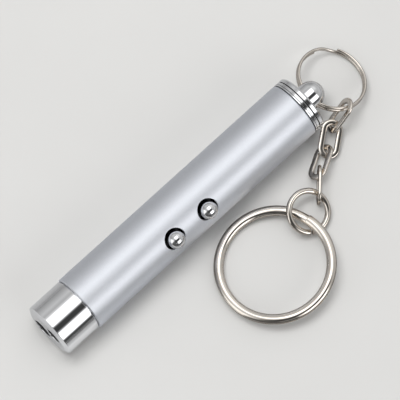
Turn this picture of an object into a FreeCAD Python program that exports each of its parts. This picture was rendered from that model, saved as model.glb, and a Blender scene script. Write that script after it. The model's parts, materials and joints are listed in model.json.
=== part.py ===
import FreeCAD, Part
import math
import os
import Sketcher

# Cat laser pointer with its split rings and chain.
# The origin is the middle of the nose face, on the barrel's axis.
# +X runs from the nose to the tail and +Z is up; the pointer lies on its side on a table.
# Lengths are millimetres and angles are degrees.

V = FreeCAD.Vector
document = FreeCAD.newDocument("cat_laser_pointer")
sheet = document.addObject("Spreadsheet::Sheet", "sizes")

# Driving dimensions

SIZES = (
    ("barrel_wall", "0.8", "wall of the barrel"),
    ("fit_clearance", "0.05", "radial play of a part seated in a bore"),
    ("thread_clearance", "0.1", "radial play of the screwed plug"),
    ("edge_break", "0.2", "small chamfer on turned ends"),
    ("nose_step", "0.25", "nose cap's side below the barrel's"),
    ("nose_length", "9.6", "nose cap ahead of the barrel"),
    ("nose_wall", "1.2", "front wall of the nose cap"),
    ("nose_side_wall", "0.7", "wall round the nose cap's bore"),
    ("nose_round", "0.3", "rounding of the nose's front edge"),
    ("nose_spigot_length", "4", "part of the nose cap inside the barrel"),
    ("seam_width", "0.3", "shadow line between cap and barrel"),
    ("seam_depth", "0.35", "depth of the shadow line"),
    ("aperture_offset", "2.65", "laser and lamp openings from the axis"),
    ("laser_aperture", "4", "opening for the laser beam"),
    ("lamp_aperture", "4.9", "opening for the lamp"),
    ("button_angle", "43", "buttons turned from straight up"),
    ("front_button_station", "34.7", "front button from the nose face"),
    ("button_spacing", "10", "between the two buttons"),
    ("button_ball", "4.1", "ball-shaped top of a button"),
    ("button_rise", "0.4", "ball's centre above the barrel's surface"),
    ("button_hole_gap", "0.55", "round the ball in the barrel's hole"),
    ("button_stem", "2.8", "stem below the ball"),
    ("button_flange_overlap", "0.4", "flange beyond the hole, all round"),
    ("button_flange_thickness", "0.8", "flange inside the barrel"),
    ("button_flange_gap", "0.2", "flange to the barrel's inside"),
    ("button_nub", "1.8", "nub that presses the switch"),
    ("button_nub_length", "0.4", "nub below the flange"),
    ("button_travel", "0.5", "how far a button goes in"),
    ("switch_side", "6", "square switch housing"),
    ("switch_height", "3.4", "height of the switch housing"),
    ("plunger_diameter", "3.4", "plunger of the switch"),
    ("plunger_rise", "1.2", "plunger above the housing"),
    ("plunger_depth", "1.2", "plunger inside the housing"),
    ("plunger_clearance", "0.1", "play round the plunger"),
    ("board_side_gap", "0.3", "circuit board to the barrel's inside"),
    ("board_tail", "3.1", "board behind the rear switch"),
    ("board_thickness", "1", "circuit board"),
    ("board_gap", "0.6", "laser module to the board's front edge"),
    ("module_diameter", "5", "brass laser module"),
    ("module_length", "12", "brass laser module"),
    ("module_wall", "0.4", "wall of the laser module"),
    ("module_recess", "1.4", "module behind the holder's front face"),
    ("lens_thickness", "1.6", "collimating lens"),
    ("lens_bulge", "0.5", "crown of the lens"),
    ("diode_flange", "1", "base of the laser diode"),
    ("diode_can", "3.2", "can of the laser diode"),
    ("diode_can_length", "1.5", "can of the laser diode"),
    ("diode_inset", "1.5", "diode ahead of the module's back end"),
    ("holder_length", "7.3", "black holder in the nose cap"),
    ("lamp_diameter", "4.8", "clear body of the lamp"),
    ("lamp_flange", "5.5", "rim of the lamp"),
    ("lamp_flange_thickness", "1", "rim of the lamp"),
    ("lamp_length", "7.6", "lamp from its rim to its tip"),
    ("lead_width", "0.5", "square legs of the lamp and the diode"),
    ("lead_spacing", "2.5", "between two legs"),
    ("lead_length", "1.6", "leg along the board before it turns"),
    ("resistor_length", "3.2", "resistor on the board"),
    ("resistor_width", "1.6", "resistor on the board"),
    ("resistor_height", "0.6", "resistor on the board"),
    ("stop_thickness", "1.2", "disc ahead of the cells"),
    ("contact_diameter", "8", "front battery contact"),
    ("contact_thickness", "0.4", "front battery contact"),
    ("cell_diameter", "11.6", "button cell"),
    ("cell_height", "5.4", "button cell with its cap"),
    ("cell_cap_diameter", "8.8", "negative cap of a cell"),
    ("cell_cap_height", "0.4", "negative cap of a cell"),
    ("cell_clearance", "0.15", "play round a cell"),
    ("sleeve_wall", "0.2", "insulating sleeve round the cells"),
    ("spring_diameter", "6.6", "mean diameter of the tail spring"),
    ("spring_wire", "0.6", "wire of the tail spring"),
    ("spring_length", "5.9", "tail spring between the last cell and its seat"),
    ("spring_seat_wall", "1.6", "wall round the spring's seat"),
    ("spring_seat_depth", "2", "seat of the spring in the plug"),
    ("plug_length", "3.6", "screwed plug of the tail cap"),
    ("tail_collar_length", "2.7", "ridged collar of the tail cap"),
    ("tail_ridge_length", "1", "front ridge of the collar"),
    ("tail_groove_width", "0.2", "groove between the two ridges"),
    ("tail_groove_depth", "0.4", "groove between the two ridges"),
    ("tail_round", "0.3", "rounding of the collar's back edge"),
    ("knob_diameter", "6.4", "drilled knob at the tail"),
    ("knob_neck_length", "2.3", "straight part of the knob"),
    ("ring_clearance", "0.2", "thin ring inside the knob's cross hole"),
    ("knob_hole_station", "1.9", "cross hole behind the collar"),
    ("thin_ring_diameter", "15.9", "mean diameter of the thin split ring"),
    ("thin_ring_wire", "0.7", "wire of the thin split ring"),
    ("thin_ring_drop", "22.3", "thin ring slopes down from the knob"),
    ("turn_gap", "0.42", "between the two turns of a split ring"),
    ("link_wire_width", "1.35", "flat wire of a link, across"),
    ("link_wire_thickness", "0.8", "flat wire of a link, through"),
    ("link_wire_round", "0.36", "rounded edges of a link"),
    ("link_play", "1.05", "opening of a link beyond the wire in it"),
    ("link_straight", "4.2", "straight sides of a link"),
    ("jump_ring_diameter", "9.44", "mean diameter of the jump ring"),
    ("jump_ring_wire", "1.4", "round wire of the jump ring"),
    ("jump_ring_cut", "0.5", "saw cut of the jump ring"),
    ("key_ring_diameter", "25.7", "mean diameter of the key ring"),
    ("key_ring_width", "2.3", "flat wire of the key ring, across"),
    ("key_ring_thickness", "0.78", "flat wire of the key ring, through"),
    ("key_ring_round", "0.35", "rounded edges of the key ring's wire"),
    ("key_ring_play", "0.85", "key ring's wire off the inside of the jump ring"),
)

for row, (alias, number, note) in enumerate(SIZES, start=1):
    sheet.set("A%d" % row, alias)
    sheet.set("B%d" % row, number)
    sheet.setAlias("B%d" % row, alias)
    sheet.set("C%d" % row, note)
document.recompute()


class Size:
    """A number together with the sheet formula that gives it."""

    def __init__(self, number, formula):
        self.number = number
        self.formula = formula

    def __float__(self):
        return self.number

    def __neg__(self):
        return Size(-self.number, "-(%s)" % self.formula)

    def __add__(self, other):
        other = as_size(other)
        return Size(self.number + other.number, "(%s + %s)" % (self.formula, other.formula))

    def __sub__(self, other):
        other = as_size(other)
        return Size(self.number - other.number, "(%s - %s)" % (self.formula, other.formula))

    def __mul__(self, other):
        other = as_size(other)
        return Size(self.number * other.number, "(%s * %s)" % (self.formula, other.formula))

    def __truediv__(self, other):
        other = as_size(other)
        return Size(self.number / other.number, "(%s / %s)" % (self.formula, other.formula))

    def root(self):
        return Size(math.sqrt(self.number), "sqrt(%s)" % self.formula)


def as_size(value):
    if isinstance(value, Size):
        return value
    return Size(float(value), repr(value))


def size(alias):
    return Size(float(sheet.get(alias)), "sizes.%s" % alias)


ZERO = as_size(0)

# Modelling helpers


def bind(item, name, value):
    """Set a property and tie it to the sheet."""
    value = as_size(value)
    item.setExpression(name, value.formula)


def new_body(label):
    body = document.addObject("PartDesign::Body", label)
    body.Label = label
    return body


def origin_plane(body, role):
    for feature in body.Origin.OriginFeatures:
        if feature.Role == role:
            return feature
    raise ValueError("no plane " + role)


def new_sketch(body, name, role):
    sketch = body.newObject("Sketcher::SketchObject", name)
    sketch.AttachmentSupport = [(origin_plane(body, role), "")]
    sketch.MapMode = "FlatFace"
    return sketch


def pin(sketch, geometry, vertex, x, y):
    """Fix one point of a sketch at x, y from its origin."""
    for kind, value in (("DistanceX", x), ("DistanceY", y)):
        index = sketch.addConstraint(Sketcher.Constraint(kind, -1, 1, geometry, vertex, value.number))
        sketch.setExpression("Constraints[%d]" % index, value.formula)


def outline(body, name, role, corners):
    """Closed sketch through the corners.

    A corner is (x, y), reached by a straight line, or (x, y, radius, (centre x, centre y)),
    reached by an arc of less than half a turn.
    """
    sketch = new_sketch(body, name, role)
    corners = [tuple(as_size(v) for v in corner[:3]) + corner[3:] for corner in corners]
    ends = []
    for index, corner in enumerate(corners):
        start = V(float(corners[index - 1][0]), float(corners[index - 1][1]), 0)
        end = V(float(corner[0]), float(corner[1]), 0)
        if len(corner) == 2:
            sketch.addGeometry(Part.LineSegment(start, end))
            ends.append((1, 2))
            continue
        centre = V(float(corner[3][0]), float(corner[3][1]), 0)
        circle = Part.Circle(centre, V(0, 0, 1), float(corner[2]))
        first = math.atan2(start.y - centre.y, start.x - centre.x)
        last = math.atan2(end.y - centre.y, end.x - centre.x)
        if (last - first) % (2 * math.pi) < math.pi:
            sketch.addGeometry(Part.ArcOfCircle(circle, first, last))
            ends.append((1, 2))
        else:
            sketch.addGeometry(Part.ArcOfCircle(circle, last, first))
            ends.append((2, 1))
    for index, corner in enumerate(corners):
        following = (index + 1) % len(corners)
        joint = (index, ends[index][1], following, ends[following][0])
        sketch.addConstraint(Sketcher.Constraint("Coincident", *joint))
        pin(sketch, index, ends[index][1], corner[0], corner[1])
        if len(corner) > 2:
            radius = sketch.addConstraint(Sketcher.Constraint("Radius", index, float(corner[2])))
            sketch.setExpression("Constraints[%d]" % radius, corner[2].formula)
    return sketch


def circles(body, name, role, rounds):
    """Sketch of full circles, each (x, y, diameter)."""
    sketch = new_sketch(body, name, role)
    for index, values in enumerate(rounds):
        x, y, across = (as_size(v) for v in values)
        centre = V(float(x), float(y), 0)
        sketch.addGeometry(Part.Circle(centre, V(0, 0, 1), float(across) / 2))
        pin(sketch, index, 3, x, y)
        number = sketch.addConstraint(Sketcher.Constraint("Diameter", index, float(across)))
        sketch.setExpression("Constraints[%d]" % number, across.formula)
    return sketch


def revolve(body, corners, axis="H_Axis"):
    """Turn an outline in the body's XZ plane round its horizontal or upright axis."""
    sketch = outline(body, body.Label + "_profile", "XZ_Plane", corners)
    turned = body.newObject("PartDesign::Revolution", body.Label + "_turned")
    turned.Profile = sketch
    turned.ReferenceAxis = (sketch, [axis])
    turned.Angle = 360
    sketch.Visibility = False
    document.recompute()
    return turned


def pad(body, sketch, length, reverse=False, middle=False):
    feature = body.newObject("PartDesign::Pad", sketch.Label + "_pad")
    feature.Profile = sketch
    feature.Reversed = reverse
    feature.Midplane = middle
    bind(feature, "Length", length)
    document.recompute()
    return feature


def pocket(body, sketch, length, reverse=False, middle=False):
    """Cut a sketch into the body and make sure that it takes something away."""
    before = body.Shape.Volume
    feature = body.newObject("PartDesign::Pocket", sketch.Label + "_cut")
    feature.Profile = sketch
    feature.Reversed = reverse
    feature.Midplane = middle
    bind(feature, "Length", length)
    document.recompute()
    if not body.Shape.Volume < before:
        raise ValueError(feature.Label + " cuts nothing")
    return feature


def lift(sketch, distance):
    """Move a sketch off its plane, along the plane's normal."""
    bind(sketch, "AttachmentOffset.Base.z", distance)
    document.recompute()


def seat(item, x, height=ZERO, turned=True):
    """Put a piece at its station, at a height on the buttons' radius.

    Its own +X stays along the barrel and its own +Z points along that radius.
    """
    turn = size("button_angle") if turned else ZERO
    item.Placement = FreeCAD.Placement(V(0, 0, 0), FreeCAD.Rotation(V(1, 0, 0), float(turn)))
    bind(item, "Placement.Base.x", x)
    if turned:
        item.setExpression("Placement.Base.y", "-(%s) * sin(%s * 1deg)" % (height.formula, turn.formula))
        item.setExpression("Placement.Base.z", "(%s) * cos(%s * 1deg)" % (height.formula, turn.formula))
        item.setExpression("Placement.Rotation.Angle", "%s * 1deg" % turn.formula)
    return item


def stand_along(item, x):
    """Turn an upright cylinder along the barrel, with its base at a station."""
    item.Placement = FreeCAD.Placement(V(0, 0, 0), FreeCAD.Rotation(V(0, 1, 0), 90))
    bind(item, "Placement.Base.x", x)
    return item


# Stations along the barrel, from the nose face

CELL_COUNT = 3
SPRING_TURNS = 4
button_angle = size("button_angle")
front_station = size("front_button_station")
rear_station = front_station + size("button_spacing")
BUTTONS = (("front", front_station), ("rear", rear_station))
barrel_start = size("nose_length")
holder_front = size("nose_wall")
holder_back = holder_front + size("holder_length")
module_front = holder_front + size("module_recess")
module_back = module_front + size("module_length")
board_front = module_back + size("board_gap")
board_back = rear_station + size("switch_side") / 2 + size("board_tail")
contact_front = board_back + size("stop_thickness")
cells_start = contact_front + size("contact_thickness")
cells_end = cells_start + size("cell_height") * CELL_COUNT
plug_start = cells_end + size("spring_length") - size("spring_seat_depth")
barrel_end = plug_start + size("plug_length")
collar_end = barrel_end + size("tail_collar_length")
knob_hole_x = collar_end + size("knob_hole_station")

# Radii from the barrel's axis

sleeve_bore = size("cell_diameter") / 2 + size("cell_clearance")
sleeve_radius = sleeve_bore + size("sleeve_wall")
bore_radius = sleeve_radius + size("fit_clearance")
barrel_radius = bore_radius + size("barrel_wall")
nose_radius = barrel_radius - size("nose_step")
spigot_radius = bore_radius - size("fit_clearance")
nose_bore = spigot_radius - size("nose_side_wall")
holder_radius = nose_bore - size("fit_clearance")
plug_radius = bore_radius - size("thread_clearance")
knob_radius = size("knob_diameter") / 2

# Radii of the pieces beside the axis

module_radius = size("module_diameter") / 2
module_bore = module_radius - size("module_wall")
lamp_radius = size("lamp_diameter") / 2
ball_radius = size("button_ball") / 2
hole_radius = ball_radius + size("button_hole_gap")
flange_radius = hole_radius + size("button_flange_overlap")
plunger_radius = size("plunger_diameter") / 2
leg_half = size("lead_width") / 2
leg_side = size("lead_spacing") / 2
leg_end = board_front + size("lead_length")

# Heights on the buttons' radius, from the barrel's axis

laser_height = size("aperture_offset")
lamp_height = -size("aperture_offset")
ball_height = barrel_radius + size("button_rise")
flange_reach = bore_radius - size("button_flange_gap")
flange_top = (flange_reach * flange_reach - flange_radius * flange_radius).root()
flange_bottom = flange_top - size("button_flange_thickness")
plunger_top = flange_bottom - size("button_nub_length")
housing_top = plunger_top - size("plunger_rise")
board_top = housing_top - size("switch_height")
board_bottom = board_top - size("board_thickness")
board_reach = (bore_radius * bore_radius - board_bottom * board_bottom).root()
board_side = board_reach - size("board_side_gap")


# Nose cap


def make_nose_cap():
    """Turned cap with a rounded front edge, a shadow groove and a spigot that fits the barrel."""
    body = new_body("nose_cap")
    rounding = size("nose_round")
    groove_start = barrel_start - size("seam_width")
    groove_radius = nose_radius - size("seam_depth")
    spigot_end = barrel_start + size("nose_spigot_length")
    revolve(body, [
        (0, 0),
        (0, nose_radius - rounding),
        (rounding, nose_radius, rounding, (rounding, nose_radius - rounding)),
        (groove_start, nose_radius),
        (groove_start, groove_radius),
        (barrel_start, groove_radius),
        (barrel_start, spigot_radius),
        (spigot_end, spigot_radius),
        (spigot_end, nose_bore),
        (holder_front, nose_bore),
        (holder_front, 0),
    ])
    openings = circles(body, "nose_openings", "YZ_Plane", [
        (0, laser_height, size("laser_aperture")),
        (0, lamp_height, size("lamp_aperture")),
    ])
    pocket(body, openings, holder_front, reverse=True)
    return seat(body, ZERO)


# Barrel


def make_body_tube():
    """Tube with chamfered ends and two round holes for the buttons."""
    body = new_body("body_tube")
    corner = size("edge_break")
    length = barrel_end - barrel_start
    revolve(body, [
        (0, bore_radius),
        (0, barrel_radius - corner),
        (corner, barrel_radius),
        (length - corner, barrel_radius),
        (length, barrel_radius - corner),
        (length, bore_radius),
    ])
    holes = circles(body, "button_holes", "XY_Plane", [
        (station - barrel_start, 0, hole_radius * 2) for name, station in BUTTONS
    ])
    pocket(body, holes, barrel_radius, reverse=True)
    return seat(body, barrel_start)


# Light sources in the nose


def make_module_holder():
    """Black disc that carries the lamp and, in a stepped bore, the laser module."""
    body = new_body("module_holder")
    blank = circles(body, "holder_blank", "YZ_Plane", [(0, 0, holder_radius * 2)])
    pad(body, blank, size("holder_length"))
    clear = size("fit_clearance")
    through = circles(body, "holder_openings", "YZ_Plane", [
        (0, laser_height, (module_bore - clear) * 2),
        (0, lamp_height, (lamp_radius + clear) * 2),
    ])
    pocket(body, through, size("holder_length"), reverse=True)
    module_seat = circles(body, "holder_seat", "YZ_Plane", [(0, laser_height, (module_radius + clear) * 2)])
    lift(module_seat, size("module_recess"))
    pocket(body, module_seat, size("holder_length"), reverse=True)
    return seat(body, holder_front)


def make_laser_module():
    body = new_body("laser_module")
    corner = size("edge_break") / 2
    length = size("module_length")
    revolve(body, [
        (0, module_bore),
        (0, module_radius - corner),
        (corner, module_radius),
        (length, module_radius),
        (length, module_bore),
    ])
    return seat(body, module_front, laser_height)


def make_laser_lens():
    """Lens with a crowned front and a flat back, in the mouth of the module."""
    body = new_body("laser_lens")
    bulge = size("lens_bulge")
    edge = size("lens_thickness")
    crown = (module_bore * module_bore + bulge * bulge) / (bulge * 2)
    revolve(body, [
        (0, 0),
        (bulge, module_bore, crown, (crown, ZERO)),
        (edge, module_bore),
        (edge, 0),
    ])
    return seat(body, module_front, laser_height)


def make_laser_diode():
    """Can and base of the diode, with two legs that turn down to the board."""
    body = new_body("laser_diode")
    can_radius = size("diode_can") / 2
    can_length = size("diode_can_length")
    base_end = can_length + size("diode_flange")
    start = module_back - size("diode_inset") - base_end
    revolve(body, [
        (0, 0),
        (0, can_radius),
        (can_length, can_radius),
        (can_length, module_bore),
        (base_end, module_bore),
        (base_end, 0),
    ])
    add_legs(body, base_end, leg_end - start, laser_height - board_top, down=True)
    return seat(body, start, laser_height)


def make_led_lamp():
    """Clear lamp with a domed tip, and a rim with a flat beside the laser module."""
    body = new_body("led_lamp")
    length = size("lamp_length")
    rim = size("lamp_flange") / 2
    half_flat = (rim * rim - lamp_radius * lamp_radius).root()
    start = holder_back - length
    revolve(body, [
        (0, 0),
        (lamp_radius, lamp_radius, lamp_radius, (lamp_radius, ZERO)),
        (length, lamp_radius),
        (length, 0),
    ])
    rim_outline = outline(body, "lamp_rim", "YZ_Plane", [
        (-half_flat, lamp_radius, rim, (ZERO, ZERO)),
        (half_flat, lamp_radius),
        (0, -rim, rim, (ZERO, ZERO)),
    ])
    lift(rim_outline, length)
    pad(body, rim_outline, size("lamp_flange_thickness"))
    rim_end = length + size("lamp_flange_thickness")
    add_legs(body, rim_end, leg_end - start, board_bottom - lamp_height, down=False)
    return seat(body, start, lamp_height)


def add_legs(body, first, last, height, down):
    """Two square legs from a base, along the axis and then square to the board."""
    width = size("lead_width")
    for side, middle in (("left", leg_side), ("right", -leg_side)):
        near, far = middle - leg_half, middle + leg_half
        along = outline(body, "%s_%s_leg" % (body.Label, side), "YZ_Plane", [
            (near, -leg_half), (far, -leg_half), (far, leg_half), (near, leg_half),
        ])
        lift(along, first)
        pad(body, along, last - first)
        foot = outline(body, "%s_%s_foot" % (body.Label, side), "XY_Plane", [
            (last - width, near), (last, near), (last, far), (last - width, far),
        ])
        pad(body, foot, height, reverse=down)


# Circuit board with its switches


def make_circuit_board():
    body = new_body("circuit_board")
    board = outline(body, "board_outline", "XY_Plane", [
        (0, -board_side),
        (board_back - board_front, -board_side),
        (board_back - board_front, board_side),
        (0, board_side),
    ])
    pad(body, board, size("board_thickness"))
    return seat(body, board_front, board_bottom)


def make_switch(name, station):
    """Square housing with a round well for its plunger."""
    body = new_body(name + "_switch")
    half = size("switch_side") / 2
    square = outline(body, name + "_switch_outline", "XY_Plane", [
        (-half, -half), (half, -half), (half, half), (-half, half),
    ])
    pad(body, square, size("switch_height"))
    well_radius = plunger_radius + size("plunger_clearance")
    well_depth = size("plunger_depth") + size("button_travel") + size("plunger_clearance")
    well = circles(body, name + "_switch_well", "XY_Plane", [(0, 0, well_radius * 2)])
    lift(well, size("switch_height"))
    pocket(body, well, well_depth)
    return seat(body, station, board_top)


def make_plunger(name, station):
    plunger = document.addObject("Part::Cylinder", name + "_plunger")
    plunger.Label = name + "_plunger"
    bind(plunger, "Radius", plunger_radius)
    bind(plunger, "Height", size("plunger_rise") + size("plunger_depth"))
    return seat(plunger, station, housing_top - size("plunger_depth"))


def make_button(name, station):
    """Ball on a stem, with a flange that stays inside the barrel and a nub on the switch."""
    body = new_body("button_" + name)
    nub = size("button_nub") / 2
    stem = size("button_stem") / 2
    neck = ball_height - (ball_radius * ball_radius - stem * stem).root()
    revolve(body, [
        (0, plunger_top),
        (nub, plunger_top),
        (nub, flange_bottom),
        (flange_radius, flange_bottom),
        (flange_radius, flange_top),
        (stem, flange_top),
        (stem, neck),
        (0, ball_height + ball_radius, ball_radius, (ZERO, ball_height)),
    ], "V_Axis")
    return seat(body, station)


def make_series_resistor():
    """Chip resistor on the board between the diode's legs and the front switch."""
    resistor = document.addObject("Part::Box", "series_resistor")
    resistor.Label = "series_resistor"
    length = size("resistor_length")
    bind(resistor, "Length", length)
    bind(resistor, "Width", size("resistor_width"))
    bind(resistor, "Height", size("resistor_height"))
    middle = (leg_end + front_station - size("switch_side") / 2) / 2
    return seat(resistor, middle - length / 2, board_top)


# Battery compartment


def make_battery_stop():
    """Moulded disc that closes the battery compartment at the board's end."""
    stop = document.addObject("Part::Cylinder", "battery_stop")
    stop.Label = "battery_stop"
    bind(stop, "Radius", sleeve_radius)
    bind(stop, "Height", size("stop_thickness"))
    return stand_along(stop, board_back)


def make_front_contact():
    contact = document.addObject("Part::Cylinder", "front_contact")
    contact.Label = "front_contact"
    bind(contact, "Radius", size("contact_diameter") / 2)
    bind(contact, "Height", size("contact_thickness"))
    return stand_along(contact, contact_front)


def make_battery_sleeve():
    """Thin insulating tube round the cells."""
    body = new_body("battery_sleeve")
    length = cells_end - contact_front
    revolve(body, [
        (0, sleeve_bore),
        (0, sleeve_radius),
        (length, sleeve_radius),
        (length, sleeve_bore),
    ])
    return seat(body, contact_front)


def make_cell(number):
    """Button cell, its smaller cap towards the tail."""
    body = new_body("cell_%d" % number)
    radius = size("cell_diameter") / 2
    cap = size("cell_cap_diameter") / 2
    height = size("cell_height")
    shoulder = height - size("cell_cap_height")
    revolve(body, [
        (0, 0),
        (0, radius),
        (shoulder, radius),
        (shoulder, cap),
        (height, cap),
        (height, 0),
    ])
    return seat(body, cells_start + height * (number - 1))


# Tail cap


def ring_sagitta():
    """How far the thin ring's wire bows within the width of the knob."""
    ring = size("thin_ring_diameter") / 2
    return ring - (ring * ring - knob_radius * knob_radius).root()


def make_tail_cap():
    """One turned piece: screwed plug with the spring's seat, ridged collar and drilled knob."""
    body = new_body("tail_cap")
    plug = size("plug_length")
    depth = size("spring_seat_depth")
    seat_radius = plug_radius - size("spring_seat_wall")
    collar = plug + size("tail_collar_length")
    seam = plug + size("seam_width")
    seam_radius = barrel_radius - size("seam_depth")
    groove = seam + size("tail_ridge_length")
    groove_end = groove + size("tail_groove_width")
    groove_radius = barrel_radius - size("tail_groove_depth")
    rounding = size("tail_round")
    neck_end = collar + size("knob_neck_length")
    revolve(body, [
        (depth, 0),
        (depth, seat_radius),
        (0, seat_radius),
        (0, plug_radius),
        (plug, plug_radius),
        (plug, seam_radius),
        (seam, seam_radius),
        (seam, barrel_radius),
        (groove, barrel_radius),
        (groove, groove_radius),
        (groove_end, groove_radius),
        (groove_end, barrel_radius),
        (collar - rounding, barrel_radius),
        (collar, barrel_radius - rounding, rounding, (collar - rounding, barrel_radius - rounding)),
        (collar, knob_radius),
        (neck_end, knob_radius),
        (neck_end + knob_radius, 0, knob_radius, (neck_end, ZERO)),
    ])
    offset = (size("thin_ring_wire") + size("turn_gap")) / 2
    bow = ring_sagitta() / 2
    bundle = (bow * bow + offset * offset).root() + size("thin_ring_wire") / 2
    hole_station = collar + size("knob_hole_station")
    hole = circles(body, "knob_hole", "XZ_Plane", [(hole_station, 0, (bundle + size("ring_clearance")) * 2)])
    pocket(body, hole, knob_radius * 4, middle=True)
    return seat(body, plug_start, turned=False)


# Wound wire: paths of tangent arcs


def point_on(radius, degrees, height):
    angle = math.radians(degrees)
    return V(radius * math.cos(angle), radius * math.sin(angle), height)


def flat_arcs(radius, first, last, height, count):
    """Level arcs of equal length from one angle to another."""
    step = (last - first) / count
    arcs = []
    for index in range(count):
        angles = [first + step * (index + share) for share in (0, 0.5, 1)]
        arcs.append(Part.Arc(*[point_on(radius, angle, height) for angle in angles]).toShape())
    return arcs


def arc_from_tangents(start, corner, end):
    """Arc from start to end whose two tangents meet at the corner."""
    chord = (start + end) / 2
    leg = (start - corner).Length
    half_turn = math.asin((chord - corner).Length / leg)
    radius = leg / math.tan(half_turn)
    rise = radius / math.cos(half_turn) - radius
    middle = corner + (chord - corner).normalize() * rise
    return Part.Arc(start, middle, end).toShape()


def two_arcs(start, start_way, end, end_way):
    """A pair of arcs that leaves one point and reaches another along given unit directions."""
    reach = end - start
    along = reach.dot(start_way + end_way)
    bend = 2 * (1 - start_way.dot(end_way))
    square = reach.dot(reach)
    if bend < 1e-9:
        leg = square / (2 * along)
    else:
        leg = (math.sqrt(along * along + bend * square) - along) / bend
    first_corner = start + start_way * leg
    last_corner = end - end_way * leg
    middle = (first_corner + last_corner) / 2
    return [
        arc_from_tangents(start, first_corner, middle),
        arc_from_tangents(middle, last_corner, end),
    ]


def wire_section(centre, outward, width, height, rounding):
    """Closed outline of a flat wire with rounded edges, or of a round wire when the rounding takes it all."""
    up = V(0, 0, 1)
    if rounding >= height / 2:
        way = outward.cross(up)
        return Part.Wire([Part.Circle(centre, way, height / 2).toShape()])
    edges = []
    corners = []
    for across, rise in ((1, 1), (-1, 1), (-1, -1), (1, -1)):
        middle = centre + outward * (across * (width / 2 - rounding)) + up * (rise * (height / 2 - rounding))
        first, last = outward * across, up * rise
        if across != rise:
            first, last = last, first
        diagonal = (first + last).normalize()
        corners.append([middle + way * rounding for way in (first, diagonal, last)])
    for index, corner in enumerate(corners):
        edges.append(Part.Arc(*corner).toShape())
        edges.append(Part.LineSegment(corner[2], corners[(index + 1) % 4][0]).toShape())
    return Part.Wire(edges)


def sweep_wire(path, section):
    solid = Part.Wire(path).makePipeShell([section], True, False)
    return solid


def least_gap(path, thickness, spread):
    """Least distance between stretches of the wire more than a third of a turn apart, less its thickness."""
    points = []
    for edge in path:
        points.extend(edge.discretize(Number=30)[:-1])
    least = None
    for index, point in enumerate(points):
        for other in points[index + spread:]:
            distance = point.distanceToPoint(other)
            if least is None or distance < least:
                least = distance
    return least - thickness


def make_split_ring(label, diameter, width, thickness, rounding, step, placement):
    """Two flat turns of one wire, joined by a short step from the lower turn to the upper."""
    radius = float(diameter) / 2
    rise = (float(thickness) + float(size("turn_gap"))) / 2
    first = step["at"] + step["turn"] / 2
    last = step["at"] + 360 - step["turn"] / 2
    path = flat_arcs(radius, first, last, -rise, 3)
    step_start = point_on(radius, last, -rise)
    step_end = point_on(radius, first + 360, rise)
    way_in = point_on(1, last + 90, 0)
    way_out = point_on(1, first + 90, 0)
    path += two_arcs(step_start, way_in, step_end, way_out)
    path += flat_arcs(radius, first + 360, last + 360, rise, 3)
    section = wire_section(
        point_on(radius, first, -rise), point_on(1, first, 0), float(width), float(thickness), float(rounding)
    )
    ring = document.addObject("Part::Feature", label)
    ring.Label = label
    ring.Shape = sweep_wire(path, section)
    ring.Placement = placement
    print("%s least gap %.3f mm" % (label, least_gap(path, float(thickness), 60)))
    return ring


def make_tail_spring():
    """Compression spring of even turns between the last cell and the plug."""
    radius = float(size("spring_diameter")) / 2
    wire = float(size("spring_wire"))
    length = float(size("spring_length")) - wire
    climb = length / SPRING_TURNS / 4
    slope = math.atan2(climb, radius * math.pi / 2)
    path = []
    for quarter in range(SPRING_TURNS * 4):
        ends = []
        for count in (quarter, quarter + 1):
            place = point_on(radius, 90 * count, climb * count)
            way = point_on(1, 90 * count + 90, 0) * math.cos(slope) + V(0, 0, math.sin(slope))
            ends += [place, way]
        path += two_arcs(*ends)
    start_way = V(0, math.cos(slope), math.sin(slope))
    section = Part.Wire([Part.Circle(point_on(radius, 0, 0), start_way, wire / 2).toShape()])
    spring = document.addObject("Part::Feature", "tail_spring")
    spring.Label = "tail_spring"
    spring.Shape = sweep_wire(path, section)
    spring.Placement = FreeCAD.Placement(
        V(float(cells_end) + wire / 2, 0, 0), FreeCAD.Rotation(V(0, 1, 0), 90)
    )
    print("tail_spring least gap %.3f mm" % least_gap(path, wire, 60))
    return spring


# Chain links, hung one in another

LINK_COUNT = 4
link_opening = size("link_wire_width") + size("link_play")
bow_radius = (link_opening + size("link_wire_width")) / 2


def make_chain_link(number, placement):
    """Flat link: a stadium-shaped loop with rounded edges, its length along its own X."""
    label = "chain_link_%d" % number
    body = new_body(label)
    half = size("link_straight") / 2
    inner = link_opening / 2
    outer = inner + size("link_wire_width")
    sketch = outline(body, label + "_outside", "XY_Plane", [
        (-half, -outer, outer, (-half, ZERO)),
        (half, -outer),
        (half + outer, 0, outer, (half, ZERO)),
        (half, outer, outer, (half, ZERO)),
        (-half, outer),
        (-half - outer, 0, outer, (-half, ZERO)),
    ])
    pad(body, sketch, size("link_wire_thickness"), middle=True)
    opening = outline(body, label + "_inside", "XY_Plane", [
        (-half, -inner, inner, (-half, ZERO)),
        (half, -inner),
        (half + inner, 0, inner, (half, ZERO)),
        (half, inner, inner, (half, ZERO)),
        (-half, inner),
        (-half - inner, 0, inner, (-half, ZERO)),
    ])
    loop = pocket(body, opening, size("link_wire_thickness") * 2, middle=True)
    level = float(size("link_wire_thickness")) / 2
    rims = []
    for index, edge in enumerate(loop.Shape.Edges, start=1):
        if all(abs(abs(vertex.Z) - level) < 1e-6 for vertex in edge.Vertexes):
            rims.append("Edge%d" % index)
    rounded = body.newObject("PartDesign::Fillet", label + "_rounded")
    rounded.Base = (loop, rims)
    bind(rounded, "Radius", size("link_wire_round"))
    body.Placement = placement
    document.recompute()
    return body


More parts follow.
